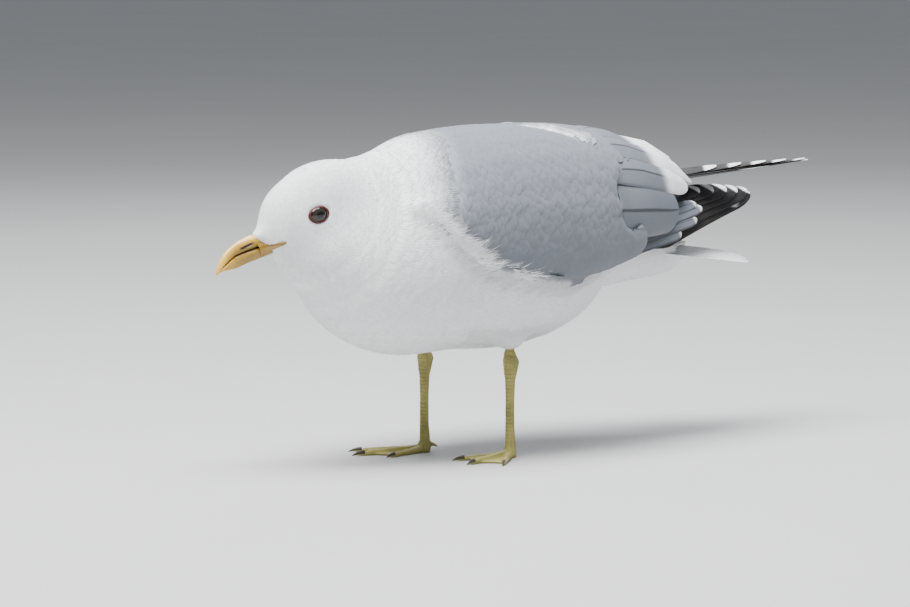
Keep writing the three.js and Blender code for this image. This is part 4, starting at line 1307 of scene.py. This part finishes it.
def bill_half(is_upper):
    """The upper or lower half of the bill, with a soft edge along the line where they meet."""
    start, end = BILL["gape"] - 4, BILL["tip"] - (0 if is_upper else 2.6)
    rings = []
    for i in range(BILL_RINGS):
        x = start + (end - start) * math.sin(i / (BILL_RINGS - 1) * math.pi / 2)
        top, bottom, width = bill_section(x, is_upper)
        turn = 2 * math.pi * (np.arange(BILL_SIDES) + 0.5) / BILL_SIDES
        rise = (np.sin(turn) + 1) / 2
        taper = 1 - 0.52 * rise ** 1.5 if is_upper else 1 - 0.5 * (1 - rise) ** 1.5
        y = width * taper * np.sign(np.cos(turn)) * np.abs(np.cos(turn)) ** 0.8
        z = bottom + (top - bottom) * rise
        if is_upper:
            sunk = 1 - ease(x, 36.0, 39.5)
            y, z = y * (1 - 0.16 * sunk), z - 1.5 * sunk * rise ** 2
        else:
            sunk = 1 - ease(x, 27.0, 31.5)
            y, z = y * (1 - 0.16 * sunk), z + 1.4 * sunk * (1 - rise) ** 2
        rings.append(np.stack([np.full_like(turn, x), y, z], axis=-1))
    local, faces = closed_loft(rings)
    pit = np.zeros(len(local))
    if is_upper:
        n = NOSTRIL
        pit = np.exp(-(((local[:, 0] - n["forward"]) / n["half_length"]) ** 6)
                     - ((local[:, 2] - n["up"] + 0.02 * (local[:, 0] - n["forward"])) / n["half_height"]) ** 4)
        local[:, 1] -= np.sign(local[:, 1]) * pit * n["deep"]
    name = "bill_top" if is_upper else "bill_under"
    shown = facing_out(new_object(name, from_head(local), faces))
    meets = np.array([bill_section(x, True)[1] for x in local[:, 0]])
    from_meet = np.abs(local[:, 2] - meets)
    forward = local[:, 0]
    sides_only = ease(forward, 62, 50)
    if is_upper:
        bright = ease(local[:, 2] - meets, 5.0, 7.6) * ease(forward, 66, 60) + 0.7 * ease(forward, 56, 64)
        olive = 0.55 * np.exp(-((from_meet - 1.6) / 1.5) ** 2) * sides_only + 0.25 * sides_only
    else:
        bright = 0.35 * ease(forward, 58, 64)
        olive = 0.55 * sides_only
    # painted shade: the nostril pit and the crease along the line where the halves meet are darkened
    dark = np.maximum(pit, 0.85 * np.exp(-((from_meet / 0.45) ** 2)) * ease(forward, 64, 40))
    set_value(shown, "bright", np.clip(bright, 0, 1))
    set_value(shown, "olive", olive)
    set_value(shown, "dark", dark)
    return fit(shown, HORN, "bill", "bill_upper" if is_upper else "bill_lower")


def gape(side_name):
    """The corner of the mouth: a strip of horn that runs back to a point between the feathers."""
    side = -SIDES[side_name]
    forward = np.linspace(MOUTH_TOP[0][-1], MOUTH_TOP[0][0], 44)
    shares = np.linspace(0, 1, 11)
    local, off_meet = [], []
    for f in forward:
        _, meet, width = bill_section(f, True)
        top, low = float(np.interp(f, *MOUTH_TOP)), float(np.interp(f, *MOUTH_LOW))
        part = float(ease(f, 24.0, 35.0))
        for share in shares:
            up = low + (top - low) * share
            cheek = skin_half_width(side, min(f, 24.0), up) + 0.5
            on_bill = width * (1 - 0.3 * (2 * share - 1) ** 2) + 0.1
            local.append((f, side * (cheek + (on_bill - cheek) * part), up))
            off_meet.append((up - meet) / 0.42 if f > 24 else (share - 0.5) * 2)
    shown = facing_out(new_object(f"gape_{side_name}", from_head(local), grid_faces(44, 11)))
    back, edge = np.repeat(forward, 11), np.tile(np.abs(2 * shares - 1), 44)
    line = np.exp(-(np.array(off_meet) ** 2))
    # painted shade: dark along the crease of the mouth and towards the rear end, where the strip runs in between the
    # feathers
    set_value(shown, "dark", np.clip(0.85 * line + 0.9 * ease(back, 25, 20.5), 0, 1))
    set_value(shown, "olive", 0.45 + 0.3 * (edge > 0.7))
    set_value(shown, "bright", np.zeros(len(local)))
    return fit(shown, HORN, "bill")


def skin_half_width(side, forward, up):
    """How far out the skin of the face lies at one place of its side view."""
    start = from_head(np.array([forward, side * 40.0, up]))
    hit = SURFACE.tree.ray_cast(Vector(start), Vector(HEAD_AXES[:, 1] * -side))[0]
    return 8.0 if hit is None else abs(in_head(np.array(hit)[None])[0][1])


bill_half(True)
bill_half(False)
for side_name in SIDES:
    gape(side_name)

# ---- legs --------------------------------------------------------------------------------------

HEEL_LEAD = 9.4
HEEL_SPREAD = 28
TOE_OUT = math.radians(18)
TOES = ((33, -31, 2.1), (42, -3, 2.4), (39, 23, 2.2))  # length, angle, radius
LEG_SWELL = 0.12
LEG_VOXEL = 0.45
SCUTE = 2.3  # height of one plate up the front of the leg
LEG_INTO_THIGH = 9


def leg_material():
    material, w, shader = new_material("leg_skin", 0.5)
    scales = w.group(SCALES, Size=620.0, Light=(0.42, 0.37, 0.095, 1), Dark=(0.17, 0.155, 0.05, 1))
    tint = w.mix(w.value_of("joint"), scales["Color"], (0.11, 0.10, 0.035, 1))
    tint = w.mix(w.value_of("webbed"), tint, (0.40, 0.33, 0.10, 1))
    w.put(shader.inputs["Base Color"], tint)
    w.put(shader.inputs["Roughness"], scales["Roughness"])
    add_bump(w, shader, scales["Height"], 0.5, 0.25)
    return material


def claw_material():
    material, w, shader = new_material("claw_horn", 0.35)
    grain = w.noise(w.place((1, 1, 1)), 300.0, 3.0)
    w.put(shader.inputs["Base Color"], w.mix(grain, (0.02, 0.016, 0.012, 1), (0.085, 0.07, 0.05, 1)))
    w.put(shader.inputs["Roughness"], w.span(grain, 0.3, 0.7, 0.28, 0.45))
    add_bump(w, shader, grain, 0.3, 0.1)
    return material


LEG_SKIN = leg_material()
CLAW = claw_material()


def heel_of(side_name):
    side = SIDES[side_name]
    return np.array([side * -HEEL_LEAD, side * HEEL_SPREAD, 0.0])


def in_foot(side_name, points):
    """Points from the heel, with x forward along the middle of the foot and y to its outside."""
    side = SIDES[side_name]
    x, y, z = (points - heel_of(side_name)).T
    turn = -side * TOE_OUT
    forward, left = -(x * math.cos(turn) + y * math.sin(turn)), -x * math.sin(turn) + y * math.cos(turn)
    return np.column_stack([forward, side * left, z])


def from_foot(side_name, local):
    side = SIDES[side_name]
    turn = -side * TOE_OUT
    x, y = -local[:, 0], side * local[:, 1]
    points = np.column_stack([x * math.cos(turn) - y * math.sin(turn), x * math.sin(turn) + y * math.cos(turn), local[:, 2]])
    return points + heel_of(side_name)


def leg_top(side_name):
    """The end of the leg that runs up into the thigh's feathers, and the height it starts at."""
    points, _ = swollen(f"tarsus_{side_name}", 0)
    high = points[:, 2].max()
    end = points[points[:, 2] > high - 2]
    middle, radius = (end.max(0) + end.min(0)) / 2, (end.max(0) - end.min(0))[:2].mean() / 2
    turn = np.linspace(0, 2 * math.pi, 20, endpoint=False)
    rings = [np.stack([middle[0] + 0.9 * radius * np.cos(turn), middle[1] + 0.9 * radius * np.sin(turn),
                       np.full_like(turn, z)], axis=-1) for z in (high - 3, high + 3, high + LEG_INTO_THIGH)]
    return closed_loft(rings), high


def leg(side_name):
    """One bare leg and webbed foot, with plates down its front and across its toes."""
    nodes = (f"tarsus_{side_name}", f"foot_{side_name}")
    top, hock = leg_top(side_name)
    shown = grown_together(f"leg_{side_name}", nodes, LEG_SWELL, LEG_VOXEL, [top])
    points, edges = points_of(shown), edges_of(shown)
    points = relax(points, edges, 7, np.ones(len(points)))
    move_points(shown, points)
    normals = normals_of(shown)
    local = in_foot(side_name, points)
    forward, out, z = local.T
    up_leg = ease(z, 8, 13)
    front = ease(-normals[:, 0], -0.2, 0.6)
    plate = (z / SCUTE) % 1.0
    on_shin = (1 - plate) * 0.30 * front * up_leg * (1 - ease(z, 60, 64))
    toe_joint = (forward / 2.0) % 1.0
    on_toes = (1 - toe_joint) * 0.14 * (1 - up_leg) * ease(normals[:, 2], 0.3, 0.8)
    floor_held = ease(z, 0.1, 0.9)
    knob = np.exp(-(((z - hock + 5) / 2.6) ** 2)) * (0.5 + 0.5 * np.cos(3 * np.arctan2(normals[:, 1], normals[:, 0]) + 1))
    knob += 0.6 * np.exp(-(((z - hock + 0.6) / 1.5) ** 2)) * (0.5 - 0.5 * np.cos(2 * np.arctan2(normals[:, 1], normals[:, 0])))
    points = points + normals * ((on_shin + on_toes + 0.75 * knob) * floor_held)[:, None]
    points[:, 2] = np.maximum(points[:, 2], 0.0)
    move_points(shown, points)
    groove = np.maximum(np.exp(-((plate / 0.16) ** 2)) * front * up_leg, np.exp(-((toe_joint / 0.2) ** 2)) * 0.5 * (1 - up_leg))
    groove = np.maximum(groove, 0.7 * np.exp(-(((z - hock + 2.6) / 0.5) ** 2)))
    set_value(shown, "joint", np.clip(groove, 0, 1) * 0.75)
    bearing = np.degrees(np.arctan2(out, forward))
    nearest = np.min([np.abs(bearing - angle) for _, angle, _ in TOES], axis=0)
    between = ease(nearest, 6, 11) * (1 - ease(z, 2.5, 4)) * ease(forward, 4, 9)
    set_value(shown, "webbed", 0.6 * between)
    return fit(shown, LEG_SKIN, "leg_skin", *nodes)


def claw(side_name, number):
    """A blunt curved claw at the end of a toe."""
    length, angle, radius = TOES[number]
    rings = []
    for t in np.linspace(0, 1, 14):
        half = radius * 0.52 * (1 - 0.82 * t ** 1.2)
        turn = np.linspace(0, 2 * math.pi, 14, endpoint=False)
        height = 1.9 + 0.5 * math.sin(math.pi * t) - 1.35 * t
        rings.append(np.stack([np.full_like(turn, length - 0.8 + 8.2 * t), half * np.cos(turn), np.maximum(height + 1.35 * half * np.sin(turn), 0.02)], axis=-1))
    local, faces = closed_loft(rings)
    turn = math.radians(angle)
    x, y = local[:, 0].copy(), local[:, 1].copy()
    local[:, 0], local[:, 1] = x * math.cos(turn) - y * math.sin(turn), x * math.sin(turn) + y * math.cos(turn)
    shown = facing_out(new_object(f"claw_{side_name}_{number + 1}", from_foot(side_name, local), faces))
    return fit(shown, CLAW, "leg_skin")


for side_name in SIDES:
    leg(side_name)
    for number in range(len(TOES)):
        claw(side_name, number)

# ---- stage -------------------------------------------------------------------------------------

LOOKS_AT = to_row([-5.3, 5.0, 92.2])
CAMERA_ROUND = math.radians(-43)
CAMERA_UP = math.radians(5)
CAMERA_AWAY = 3.0
CAMERA_LENS = 195.8


def stand_off(around, up, away):
    back = np.array([math.sin(around) * math.cos(up), -math.cos(around) * math.cos(up), math.sin(up)])
    return Vector(LOOKS_AT + back * away)


def aim(thing, place):
    thing.location = place
    thing.rotation_euler = (Vector(LOOKS_AT) - place).to_track_quat("-Z", "Y").to_euler()
    bpy.context.scene.collection.objects.link(thing)


def soft_light(name, around, up, away, size, power, color):
    light = bpy.data.lights.new(name, "AREA")
    light.size, light.energy, light.color = size, power, color
    aim(bpy.data.objects.new(name, light), stand_off(math.radians(around), math.radians(up), away))


def floor():
    count = 96
    turn = np.linspace(0, 2 * math.pi, count, endpoint=False)
    ring = np.stack([40000 * np.cos(turn), 40000 * np.sin(turn), np.zeros(count)], axis=-1)
    ring[:, 2] -= 0.02
    shown = new_object("floor", ring, [tuple(range(count))])
    material, w, shader = new_material("floor_paint", 0.75)
    patchy = w.noise(w.place(), 3.0)
    w.put(shader.inputs["Base Color"], w.mix(patchy, (0.44, 0.44, 0.44, 1), (0.49, 0.49, 0.485, 1)))
    shown.data.materials.append(material)


def world():
    made = bpy.data.worlds.new("studio")
    made.use_nodes = True
    made.node_tree.nodes["Background"].inputs["Color"].default_value = (0.78, 0.82, 0.88, 1)
    made.node_tree.nodes["Background"].inputs["Strength"].default_value = 0.45
    bpy.context.scene.world = made


floor()
world()
soft_light("key", -80, 58, 2.2, 1.1, 92, (1.0, 0.985, 0.96))
soft_light("top", -20, 86, 2.0, 1.5, 108, (0.96, 0.98, 1.0))
soft_light("back", 140, 35, 2.4, 1.0, 14, (1.0, 1.0, 1.0))

camera = bpy.data.objects.new("camera", bpy.data.cameras.new("camera"))
camera.data.lens = CAMERA_LENS
camera.data.sensor_width = 36
camera.data.clip_end = 200
aim(camera, stand_off(CAMERA_ROUND, CAMERA_UP, CAMERA_AWAY))
bpy.context.scene.camera = camera
